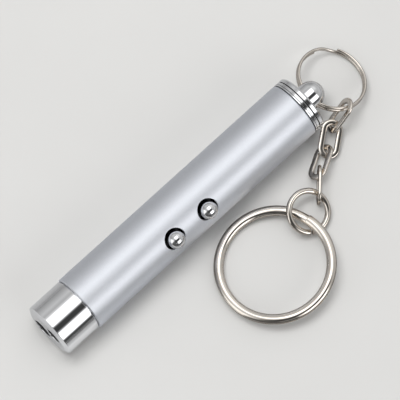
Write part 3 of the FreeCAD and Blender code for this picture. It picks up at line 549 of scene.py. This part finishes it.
def rounded_profile(corners, steps=5):
    """Profile through (station, radius, rounding) corners.

    At a corner the straight runs u and v end where an arc touches both: its centre lies on their
    bisector at rounding / sin(half angle) from the corner, and it meets the runs at
    rounding / tan(half angle). A guard point just outside each end keeps the runs flat.
    """
    corners = [np.array(corner, float) for corner in corners]
    line = [corners[0][:2]]
    for before, corner, after in zip(corners, corners[1:], corners[2:]):
        here, size = corner[:2], corner[2]
        u, v = before[:2] - here, after[:2] - here
        u, v = u / np.linalg.norm(u), v / np.linalg.norm(v)
        half = math.acos(np.clip(u @ v, -1, 1)) / 2
        reach = size / math.tan(half)
        centre = here + (u + v) / np.linalg.norm(u + v) * size / math.sin(half)
        first, last = here + u * reach - centre, here + v * reach - centre
        share = np.linspace(0, 1, steps)[:, None]
        spread = math.pi - 2 * half
        arc = (np.sin((1 - share) * spread) * first + np.sin(share * spread) * last) / math.sin(spread)
        line += [here + u * (reach + GUARD), *(centre + arc), here + v * (reach + GUARD)]
    line.append(corners[-1][:2])
    return np.array(line)


def quarter_round(radius, edge):
    """Depth and radius of rings round a hole's rounded edge, from its rim into the hole.

    They are edge (1 - cos s) and radius + edge (1 - sin s), for s from 0 to a quarter turn.
    """
    return [
        (edge * (1 - math.cos(s)), radius + edge * (1 - math.sin(s)))
        for s in np.linspace(0, math.pi / 2, EDGE_RINGS)
    ]


def ring_round(station, turn, radius, surface, depth, count):
    """Ring of points round a cross hole.

    The hole's axis leaves the barrel's axis at the given turn. A point lies radius away from
    it, and its height along it is sqrt(R^2 - side^2) less the depth, R being the turned
    surface's radius at that station.
    """
    around = np.arange(count) * 2 * np.pi / count
    x = station + radius * np.cos(around)
    side = radius * np.sin(around)
    height = np.sqrt(surface(x) ** 2 - side ** 2) - depth
    y = -height * math.sin(turn) - side * math.cos(turn)
    z = height * math.cos(turn) - side * math.sin(turn)
    return np.stack([x, y, z], -1)


print("a guard point", GUARD, "mm beside each rounded corner")

# %% [markdown]
# A round hole in a turned surface needs its grid bent round it. Counted in steps from the
# hole's middle, the grid lines form squares inside one another: a small one is laid on the
# hole's edge as a circle, a larger one stays as it is, and those between are blended. A square
# n steps out has 8 n points round it, so the rings of the hole's wall have as many.

# %% Turned surface with round windows
def bend_window(x, r, a, keep, profile, column, row, steps, radius):
    """Lay the square `steps[0]` grid steps from a grid point on a circle, and blend out to `steps[1]`.

    A point i columns and j rows away is on the square s = max(|i|, |j|). Its place on a circle is
    at the radius plus (s - inner) pitches, turned from the middle of its side of the square by
    45 degrees times j / i, or i / j on the other two sides. The blend from there to its own place
    is 3 t^2 - 2 t^3, t going from 0 at the inner square to 1 at the outer one.
    """
    inner, outer = steps
    rows = x.shape[1]
    step = 2 * np.pi / rows
    count = np.arange(-outer, outer + 1)
    i, j = np.meshgrid(count, count, indexing="ij")
    square = np.maximum(abs(i), abs(j))
    flat = abs(i) >= abs(j)
    wide = np.where(flat, i, j).astype(float)
    wide[square == 0] = 1
    lean = np.where(flat, j, -i) / wide
    around = np.where(flat, 0, np.pi / 2) + lean * np.pi / 4 + np.where(wide < 0, np.pi, 0)
    line_x, line_r = profile[column - outer: column + outer + 1].T
    pitch = abs(line_x[-1] - line_x[0]) / (2 * outer)
    share = np.clip((square - inner) / (outer - inner), 0, 1)
    share = share * share * (3 - 2 * share)
    circle = radius + (square - inner) * pitch
    side_way = 1 if line_x[-1] > line_x[0] else -1
    ahead = (1 - share) * circle * np.cos(around) + share * (line_x[:, None] - line_x[outer]) * side_way
    aside = (1 - share) * circle * np.sin(around) + share * line_r[:, None] * np.sin(j * step)
    new_x = line_x[outer] + ahead * side_way
    order = np.argsort(line_x)
    new_r = np.interp(new_x, line_x[order], line_r[order])
    new_a = row * step + np.arcsin(np.clip(aside / new_r, -1, 1))
    use = square >= inner
    columns_used, rows_used = column + i, (row + j) % rows
    for grid, new in ((x, new_x), (r, new_r), (a, new_a)):
        grid[columns_used[use], rows_used[use]] = new[use]
    hole = np.arange(-inner, inner)
    keep[np.ix_(column + hole, (row + hole) % rows)] = False


def turned_skin(profile, windows=(), closed=False, rows=144, start=0.0):
    """Patch over a turned profile, with a round window for each (column, row, steps, radius).

    A point of station x and radius r at the turn a, from +Z towards -Y, is (x, -r sin a, r cos a).
    """
    x, r = (np.repeat(profile[:, k:k + 1], rows, 1) for k in (0, 1))
    a = np.tile(np.arange(rows) * 2 * np.pi / rows, (len(profile), 1))
    keep = np.ones(x.shape, bool)
    for window in windows:
        bend_window(x, r, a, keep, profile, *window)
    points = np.stack([x, -r * np.sin(a + start), r * np.cos(a + start)], -1)
    return skin(points, closed_u=closed, closed_v=True, keep=keep)


print("windows are blended into the grid")

# %% [markdown]
# The barrel is a thin tube with a small chamfer at both ends and two holes for the buttons. Its
# profile is a closed loop, out along the surface and back along the bore, so the wall's
# thickness shows wherever a hole or an end lets the eye in.

# %% Barrel
BARREL_RADIUS = 7.0
BORE_RADIUS = 6.2
BARREL_CHAMFER = 0.2
BARREL_ROWS = 176
END_LENGTH = 1
FRONT_COLUMNS, REAR_COLUMNS = 19, 26
HOLE_RADIUS = 2.6
HOLE_EDGE = 0.1
HOLE_STEPS = (10, 20)
HOLE_PITCH = 0.25
HOLE_REACH = 5


def outer_surface(x):
    """Radius of the barrel's outside, the same at every station."""
    return np.full_like(x, BARREL_RADIUS)


def bore_surface(x):
    """Radius of the barrel's bore, the same at every station."""
    return np.full_like(x, BORE_RADIUS)


barrel_low, barrel_high = (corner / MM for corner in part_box("body_tube"))
button_way = -Vector(joint_of["front_button_press"]["axis"])
button_turn = math.atan2(-button_way.y, button_way.z)
stations = [(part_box(name)[0].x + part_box(name)[1].x) / 2 / MM for name in ("button_front", "button_rear")]
print("buttons at %.1f and %.1f mm, turned %.1f degrees" % (*stations, math.degrees(button_turn)))

dense = np.arange(stations[0] - HOLE_REACH, stations[1] + HOLE_REACH + HOLE_PITCH / 2, HOLE_PITCH)
run = np.concatenate([
    np.linspace(barrel_low.x + END_LENGTH, dense[0], FRONT_COLUMNS)[:-1],
    dense,
    np.linspace(dense[-1], barrel_high.x - END_LENGTH, REAR_COLUMNS)[1:],
])
front_end = rounded_profile([
    (run[0], BORE_RADIUS, 0), (barrel_low.x, BORE_RADIUS, 0.08),
    (barrel_low.x, BARREL_RADIUS - BARREL_CHAMFER, 0.04),
    (barrel_low.x + BARREL_CHAMFER, BARREL_RADIUS, 0.08), (run[0], BARREL_RADIUS, 0),
], steps=4)
rear_end = front_end[::-1] * (-1, 1) + (barrel_low.x + barrel_high.x, 0)
outer_run = np.stack([run, 0 * run + BARREL_RADIUS], -1)
inner_run = np.stack([run[::-1], 0 * run + BORE_RADIUS], -1)
barrel_profile = np.concatenate([outer_run, rear_end[1:-1], inner_run, front_end[1:-1]])
inner_start = len(outer_run) + len(rear_end) - 2
hole_points = 8 * HOLE_STEPS[0]
windows = []
walls = []
for station in stations:
    column = int(np.argmin(abs(run - station)))
    back_column = inner_start + len(run) - 1 - column
    windows.append((column, 0, HOLE_STEPS, HOLE_RADIUS + HOLE_EDGE))
    windows.append((back_column, 0, HOLE_STEPS, HOLE_RADIUS))
    rings = [
        ring_round(station, button_turn, radius, outer_surface, depth, hole_points)
        for depth, radius in quarter_round(HOLE_RADIUS, HOLE_EDGE)
    ]
    rings.append(ring_round(station, button_turn, HOLE_RADIUS, bore_surface, 0, hole_points))
    walls.append(skin(np.array(rings), closed_v=True))
barrel_skin = turned_skin(barrel_profile, windows, closed=True, rows=BARREL_ROWS, start=button_turn)
make_piece("barrel", [barrel_skin, *walls], "body_tube")

# %% [markdown]
# The nose cap is bright chrome on brass. Its front face has two openings side by side, one for
# the laser and one for the lamp, and a thin shadow groove parts it from the barrel. A shallow
# bevel runs round the face. The flat face inside it is cut into triangles between its rings,
# which is the quickest way to a flat face with round holes. Behind the groove a thinner spigot
# goes into the barrel.

# %% Nose cap
NOSE_RADIUS = 6.75
NOSE_ROUND = 0.14
BEVEL_START = 5.6
BEVEL_DEPTH = 0.6
FACE_RADIUS = 5.4
NOSE_BORE = 5.5
NOSE_WALL = 1.2
INNER_FACE_RADIUS = 5.28
GROOVE_START, GROOVE_END = 9.3, 9.6
GROOVE_FLOOR = 5.95
SPIGOT_RADIUS = 6.15
NOSE_ROWS = 160
OPENINGS = ((2.65, 2.0), (-2.65, 2.45))
OPENING_EDGE = 0.12
OPENING_ROWS = 96
spigot_end = (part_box("nose_cap")[1] / MM).x


def disc_ring(station, offset, turn, radius, count):
    """Ring of a radius across the barrel's axis; its centre lies offset from the axis towards a turn."""
    a = np.arange(count) * 2 * np.pi / count
    y = -offset * math.sin(turn) - radius * np.sin(a)
    z = offset * math.cos(turn) + radius * np.cos(a)
    return np.stack([station + 0 * a, y, z], -1)


def pierced_face(station, radius, edge):
    """Flat face across the axis out to a radius, with both openings left out of it."""
    rings = [disc_ring(station, 0, 0, radius, NOSE_ROWS)]
    rings += [
        disc_ring(station, offset, button_turn, hole + edge, OPENING_ROWS) for offset, hole in OPENINGS
    ]
    triangles = tessellate_polygon([[Vector(point) for point in ring] for ring in rings])
    return np.concatenate(rings), np.array(triangles)


nose_profile = rounded_profile([
    (0, FACE_RADIUS, 0), (0, BEVEL_START, 0.05), (BEVEL_DEPTH, NOSE_RADIUS, NOSE_ROUND),
    (GROOVE_START, NOSE_RADIUS, 0.1), (GROOVE_START, GROOVE_FLOOR, 0.04),
    (GROOVE_END, GROOVE_FLOOR, 0.03), (GROOVE_END, SPIGOT_RADIUS, 0.03),
    (spigot_end, SPIGOT_RADIUS, 0.15), (spigot_end, NOSE_BORE, 0.1),
    (NOSE_WALL, NOSE_BORE, 0.12), (NOSE_WALL, INNER_FACE_RADIUS, 0),
])
nose_patches = [
    turned_skin(nose_profile, rows=NOSE_ROWS),
    pierced_face(0, FACE_RADIUS, OPENING_EDGE + GUARD),
    pierced_face(NOSE_WALL, INNER_FACE_RADIUS, 0),
]
for offset, hole in OPENINGS:
    shape = [
        (0, hole + OPENING_EDGE + GUARD), *quarter_round(hole, OPENING_EDGE),
        (OPENING_EDGE + GUARD, hole), (NOSE_WALL, hole),
    ]
    rings = [disc_ring(station, offset, button_turn, radius, OPENING_ROWS) for station, radius in shape]
    nose_patches.append(skin(np.array(rings), closed_v=True))
# Inside the bore the nose's chrome is painted darker as shade, and is matt.
make_piece("nose_shell", nose_patches, "nose_cap")

# %% [markdown]
# The tail cap screws in behind the cells. Its plug is hollow, to seat the spring. Two grooves
# round its collar make it read as a separate cap, and its knob is drilled across for the first
# ring. The knob's end is a half ball, so the profile ends there on the axis, and the drilled
# hole's two mouths are windows in the same grid.

# %% Tail cap
SEAT_STATION = 74.5
SEAT_RADIUS = 4.5
PLUG_RADIUS = 6.1
COLLAR_RADIUS = 7.0
COLLAR_START = 76.26
SLOPE_START, COLLAR_END = 78.4, 78.8
SLOPE_RADIUS = 6.6
KNOB_RADIUS = 3.2
CROSS_STATION = 80.7
CROSS_HOLE = 1.203
CROSS_EDGE = 0.1
CROSS_STEPS = (8, 12)
CROSS_PITCH = 0.15
BALL_COLUMNS = 22
TAIL_ROWS = 144
tail_low, tail_high = (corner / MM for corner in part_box("tail_cap"))
ball_middle = tail_high.x - KNOB_RADIUS
cross_points = 8 * CROSS_STEPS[0]


def groove(start, end, floor, edge, root):
    """Corners of a groove in the collar: down at its start, along its floor and up at its end."""
    return [
        (start, COLLAR_RADIUS, edge), (start, floor, root),
        (end, floor, root), (end, COLLAR_RADIUS, edge),
    ]


def knob_radius(x):
    """Radius of the knob: plain up to the ball's middle m, then sqrt(R^2 - (x - m)^2)."""
    return np.sqrt(KNOB_RADIUS ** 2 - np.clip(x - ball_middle, 0, KNOB_RADIUS) ** 2)


neck = CROSS_STATION + CROSS_PITCH * np.arange(-CROSS_STEPS[1], CROSS_STEPS[1] + 1)
tail_front = rounded_profile([
    (SEAT_STATION, 0, 0), (SEAT_STATION, SEAT_RADIUS, 0.2), (tail_low.x, SEAT_RADIUS, 0.15),
    (tail_low.x, PLUG_RADIUS, 0.2), (COLLAR_START, PLUG_RADIUS, 0.03),
    (COLLAR_START, COLLAR_RADIUS, 0.08),
    *groove(76.62, 76.7, 6.6, 0.05, 0.02),
    *groove(77.4, 77.6, 6.3, 0.12, 0.03),
    (SLOPE_START, COLLAR_RADIUS, 0.15), (COLLAR_END, SLOPE_RADIUS, 0.12),
    (COLLAR_END, KNOB_RADIUS, 0.05), (neck[0], KNOB_RADIUS, 0),
])
ball_start = math.asin((neck[-1] - ball_middle) / KNOB_RADIUS)
ball = ball_middle + KNOB_RADIUS * np.sin(np.linspace(ball_start, math.pi / 2, BALL_COLUMNS))
knob = np.concatenate([neck, ball[1:]])
knob_profile = np.stack([knob, knob_radius(knob)], -1)
tail_profile = np.concatenate([tail_front[:-1], knob_profile])
middle_column = len(tail_front) - 1 + CROSS_STEPS[1]
mouth = CROSS_HOLE + CROSS_EDGE
tail_windows = [(middle_column, row, CROSS_STEPS, mouth) for row in (TAIL_ROWS // 4, 3 * TAIL_ROWS // 4)]


def knob_surface(x):
    """Radius of the knob as the mesh has it, straight between the profile's points."""
    return np.interp(x, knob_profile[:, 0], knob_profile[:, 1])


def cross_rings(turn):
    """Rings from a mouth of the cross hole round its edge and into the hole."""
    shape = [*quarter_round(CROSS_HOLE, CROSS_EDGE), (CROSS_EDGE + GUARD, CROSS_HOLE)]
    return np.array([
        ring_round(CROSS_STATION, turn, radius, knob_surface, depth, cross_points)
        for depth, radius in shape
    ])


turned_back = -np.arange(cross_points) % cross_points
cross_wall = np.concatenate([cross_rings(math.pi / 2), cross_rings(-math.pi / 2)[::-1][:, turned_back]])
tail_patches = [turned_skin(tail_profile, tail_windows, rows=TAIL_ROWS), skin(cross_wall, closed_v=True)]
# Deep in the collar's grooves the chrome is painted near black as shade.
make_piece("tail_end", tail_patches, "tail_cap")

# %% [markdown]
# Each button is a small polished ball on a stem, with a flange inside the barrel that stops it
# from falling out. It is a lathe shape too, only its axis stands on the barrel.

# %% Buttons
NUB_START = 3.996
NUB_RADIUS = 0.9
FLANGE_START, FLANGE_END = 4.396, 5.196
FLANGE_RADIUS = 3.0
STEM_RADIUS = 1.4
BALL_RADIUS = 2.05
BALL_HEIGHT = 7.4
BALL_LINES = 44
BUTTON_ROWS = 96


def stand(points, origin, axis):
    """Turn points made about the X axis so that X lies along another axis, then move them."""
    turned = np.array(Vector((1, 0, 0)).rotation_difference(Vector(axis)).to_matrix())
    return points @ turned.T + np.array(origin)


lowest = -math.acos(STEM_RADIUS / BALL_RADIUS)
ball_turn = np.linspace(lowest, math.pi / 2, BALL_LINES)
ball_line = BALL_RADIUS * np.stack([np.sin(ball_turn), np.cos(ball_turn)], -1) + (BALL_HEIGHT, 0)
button_foot = rounded_profile([
    (NUB_START, 0, 0), (NUB_START, NUB_RADIUS, 0.12), (FLANGE_START, NUB_RADIUS, 0.03),
    (FLANGE_START, FLANGE_RADIUS, 0.15), (FLANGE_END, FLANGE_RADIUS, 0.15),
    (FLANGE_END, STEM_RADIUS, 0.1), (*ball_line[0], 0),
])
button_profile = np.concatenate([button_foot[:-1], ball_line])
# Below the barrel's skin the buttons' chrome is painted near black as shade.
for name, node, station in zip(("front_ball", "rear_ball"), ("button_front", "button_rear"), stations):
    points, faces = turned_skin(button_profile, rows=BUTTON_ROWS)
    make_piece(name, [(stand(points, (station, 0, 0), button_way), faces)], node)

# %% [markdown]
# The chain and the rings lie as they fell, each tilted its own way. Where each one lies is read
# from its solid: the directions in which its skin spreads least and most are its flat side's
# normal and its length.

# %% How a solid lies
CIRCLE_FITS = 3
OUTER_BAND = 0.1
CUT_FACING = 0.98


def read_triangles(node):
    """Corners of a solid's triangles, in mm."""
    mesh = nodes[node].data
    mesh.calc_loop_triangles()
    points = np.empty(len(mesh.vertices) * 3)
    mesh.vertices.foreach_get("co", points)
    index = np.empty(len(mesh.loop_triangles) * 3, np.int32)
    mesh.loop_triangles.foreach_get("vertices", index)
    return (points.reshape(-1, 3) / MM)[index.reshape(-1, 3)]


def read_lie(node):
    """Middle of a solid's skin and its directions of least, middle and most spread.

    A triangle with corners a, b, c adds its area / 12 times (aa + bb + cc + ss), where s is
    a + b + c and aa is the table of products of a's coordinates, all measured from the middle.
    """
    triangles = read_triangles(node)
    a, b, c = triangles.transpose(1, 0, 2)
    areas = np.linalg.norm(np.cross(b - a, c - a), axis=1) / 2
    middle = (areas[:, None] * triangles.mean(1)).sum(0) / areas.sum()
    local = triangles - middle
    total = local.sum(1)
    spread = np.einsum("n,nki,nkj->ij", areas, local, local)
    spread += np.einsum("n,ni,nj->ij", areas, total, total)
    return middle, np.linalg.eigh(spread)[1].T


def read_ring(node):
    """Centre of a ring's outer circle, its flat side's normal turned up, and the way to its cut.

    The circle through points (u, v) solves u^2 + v^2 = 2 p u + 2 q v + k. It is found a few
    times, each time with only the points nearest to the outside. The cut's end faces are those
    that look along the wire.
    """
    triangles = read_triangles(node)
    middle, (normal, side, _) = read_lie(node)
    length = np.cross(normal, side)
    flat = (triangles.reshape(-1, 3) - middle) @ np.stack([side, length], -1)
    near = np.ones(len(flat), bool)
    for _ in range(CIRCLE_FITS):
        u, v = flat[near].T
        table = np.stack([2 * u, 2 * v, np.ones(len(u))], -1)
        p, q = np.linalg.lstsq(table, u * u + v * v, rcond=None)[0][:2]
        distance = np.hypot(flat[:, 0] - p, flat[:, 1] - q)
        near = distance > distance.max() - OUTER_BAND
    centre = middle + p * side + q * length
    normals = np.cross(triangles[:, 1] - triangles[:, 0], triangles[:, 2] - triangles[:, 0])
    areas = np.linalg.norm(normals, axis=1)
    outward = triangles.mean(1) - centre
    outward -= (outward @ normal)[:, None] * normal
    outward /= np.linalg.norm(outward, axis=1)[:, None]
    facing = abs((normals * np.cross(normal, outward)).sum(1)) > CUT_FACING * areas
    cut = (outward * areas[:, None])[facing].sum(0)
    cut /= np.linalg.norm(cut)
    normal = normal if normal[2] > 0 else -normal
    print("%s: outer radius %.3f mm, %d cut triangles" % (node, distance.max(), facing.sum()))
    return centre, normal, cut


print("lies are read from the solids")

# %% [markdown]
# Rings and links are one section carried along a path. The section's first direction points out
# of the curve and its second along the flat side's normal, so flat wire stays flat. A cut end
# is closed by shrinking the section over the last tenth of a millimetre, which rounds its rim.

# %% Wire carried along a path
UP = np.array([0, 0, 1.0])


def wire_section(width, thickness, squareness, count=44):
    """Closed curve |a / (width / 2)|^n + |b / (thickness / 2)|^n = 1, n being the squareness."""
    t = np.arange(count) * 2 * np.pi / count
    a = np.sign(np.cos(t)) * abs(np.cos(t)) ** (2 / squareness) * width / 2
    b = np.sign(np.sin(t)) * abs(np.sin(t)) ** (2 / squareness) * thickness / 2
    return np.stack([a, b], -1)


def carry(path, along, up, section, sizes=None, leans=None):
    """Grid of path + a * out + b * over, out being along x up and over being out x along.

    `sizes` shrinks the section at each point of the path. `leans` lowers its sides there by
    lean * (1 - sqrt(1 - (a / A)^2)), A being its half width: that flattens one face and domes the other.
    """
    along = along / np.linalg.norm(along, axis=1)[:, None]
    out = np.cross(along, up)
    out /= np.linalg.norm(out, axis=1)[:, None]
    over = np.cross(out, along)
    sizes = np.ones(len(path)) if sizes is None else sizes
    leans = np.zeros(len(path)) if leans is None else leans
    a, b = section.T
    b = b - leans[:, None] * (1 - np.sqrt(np.clip(1 - (a / a.max()) ** 2, 0, 1)))
    shift = a[:, None] * out[:, None, :] + b[:, :, None] * over[:, None, :]
    return path[:, None, :] + shift * sizes[:, None, None]


print("section points:", len(wire_section(1, 1, 2)))

# %% [markdown]
# A link is flat wire bent to a long loop and pressed. The path is two half circles with straight
# runs between them, told by the turn of the bow and the place of its centre.

# %% Chain links
LINK_WIDTH = 1.33
LINK_THICKNESS = 0.77
LINK_SQUARENESS = 3.2
LINK_BOW = 1.875
LINK_STRAIGHT = 4.2
BOW_POINTS = 33
STRAIGHT_POINTS = 13
LINK_SECTION_POINTS = 60


def link_path():
    """Points (c + R cos t, R sin t) of a link's middle line, and its direction (-sin t, cos t).

    On the bows t turns and c rests at half the straight's length, on the straights t rests and
    c moves.
    """
    half = LINK_STRAIGHT / 2
    bow = np.linspace(-math.pi / 2, math.pi / 2, BOW_POINTS)
    run = np.linspace(-1, 1, STRAIGHT_POINTS + 2)[1:-1] * half
    t = np.concatenate([bow, 0 * run + math.pi / 2, bow + math.pi, 0 * run + 3 * math.pi / 2])
    c = np.concatenate([0 * bow + half, -run, 0 * bow - half, run])
    path = np.stack([c + LINK_BOW * np.cos(t), LINK_BOW * np.sin(t), 0 * t], -1)
    return path, np.stack([-np.sin(t), np.cos(t), 0 * t], -1)


link_line, link_along = link_path()
link_section = wire_section(LINK_WIDTH, LINK_THICKNESS, LINK_SQUARENESS, LINK_SECTION_POINTS)
link_grid = carry(link_line, link_along, UP, link_section)
for number in range(1, 5):
    node = "chain_link_%d" % number
    middle, (normal, _, length) = read_lie(node)
    turned = np.stack([length, np.cross(normal, length), normal])
    link_skin = skin(link_grid @ turned + middle, closed_u=True, closed_v=True)
    make_piece("link_%d" % number, [link_skin], node)

# %% [markdown]
# The jump ring is a round wire closed by hand, with a narrow saw cut. The two split rings are
# spring wire in two flat turns, joined by a short step from one turn to the other, and cut
# off square where the turns end.

# %% Rings
RING_RIM = 0.1
RIM_PLACES = np.array([0, 0, 0.12, 0.35, 0.65, 1, 1.4])
RIM_DEPTHS = np.array([1, 0.7, 0.35, 0.12, 0.02, 0])


def ring_turns(first, last, radius, spacing):
    """Turns along a ring at an even spacing, packed close together at both ends for the rims."""
    lead = RIM_PLACES * RING_RIM / radius
    count = round((last - first) / spacing) + 1
    turns = np.linspace(first + lead[-1], last - lead[-1], count)
    return np.concatenate([first + lead, turns[1:-1], (last - lead)[::-1]])


def end_sizes(count, half):
    """Size of the section from cut end to cut end: nothing, the flat end, its round rim, then full."""
    rim = np.array([0, *(1 - RIM_DEPTHS * RING_RIM / half)])
    return np.concatenate([rim, np.ones(count - 2 * len(rim)), rim[::-1]])


def split_path(turns, radius, rise, step):
    """Height over a split ring: -rise on the first turn, +rise on the second, an S between them.

    Over the step the share s runs from 0 to 1, the height is
    rise * (2 (6 s^5 - 15 s^4 + 10 s^3) - 1) and its slope is rise * 60 s^2 (1 - s)^2 / step.
    """
    share = np.clip((turns - (2 * math.pi - step / 2)) / step, 0, 1)
    height = rise * (2 * share ** 3 * (6 * share * share - 15 * share + 10) - 1)
    slope = rise * 60 * (share * (1 - share)) ** 2 / step
    path = np.stack([radius * np.cos(turns), radius * np.sin(turns), height], -1)
    return path, np.stack([-radius * np.sin(turns), radius * np.cos(turns), slope], -1)


def lay_ring(name, node, grid):
    """Place a ring made about +Z with its cut towards +X."""
    centre, normal, cut = read_ring(node)
    turned = np.stack([cut, np.cross(normal, cut), normal])
    make_piece(name, [skin(grid @ turned + centre, closed_v=True)], node)


JUMP_RADIUS = 4.72
JUMP_WIRE = 1.4
JUMP_CUT = 0.5
JUMP_SPACING = 2.5
half_cut = JUMP_CUT / JUMP_RADIUS / 2
turns = ring_turns(half_cut, 2 * math.pi - half_cut, JUMP_RADIUS, math.radians(JUMP_SPACING))
sizes = end_sizes(len(turns), JUMP_WIRE / 2)
path, along = split_path(turns, JUMP_RADIUS, 0, 1)
jump_section = wire_section(JUMP_WIRE, JUMP_WIRE, 2)
lay_ring("ring_jump", "jump_ring", carry(path, along, UP, jump_section, sizes))

# A row holds the piece, its solid, the ring's middle radius, the wire's width, thickness and
# squareness, the gap between the turns, the doming of the outer faces as a share of half the
# thickness, the step's turn and the turn between points in degrees, and the points round the
# wire. The doming changes sides in the last DOME_TURN radians before the step.
DOME_TURN = 0.35
SPLIT_RINGS = (
    ("ring_thin", "thin_ring", 7.95, 0.7, 0.9, 2.0, 0.02, 0.0, 40, 2.5, 28),
    ("ring_key", "key_ring", 12.85, 2.3, 0.965, 1.72, 0.05, 0.8, 30, 1.5, 56),
)
for name, node, radius, width, thickness, squareness, apart, doming, step, spacing, count in SPLIT_RINGS:
    step = math.radians(step)
    turns = ring_turns(step / 2, 4 * math.pi - step / 2, radius, math.radians(spacing))
    rise = (thickness + apart) / 2
    path, along = split_path(turns, radius, rise, step)
    sizes = end_sizes(len(turns), thickness / 2)
    section = wire_section(width, thickness, squareness, count)
    share = np.clip((turns - 2 * math.pi + step / 2) / DOME_TURN + 1, 0, 1)
    leans = doming * thickness / 2 * (2 * share * share * (3 - 2 * share) - 1)
    lay_ring(name, node, carry(path, along, UP, section, sizes, leans))
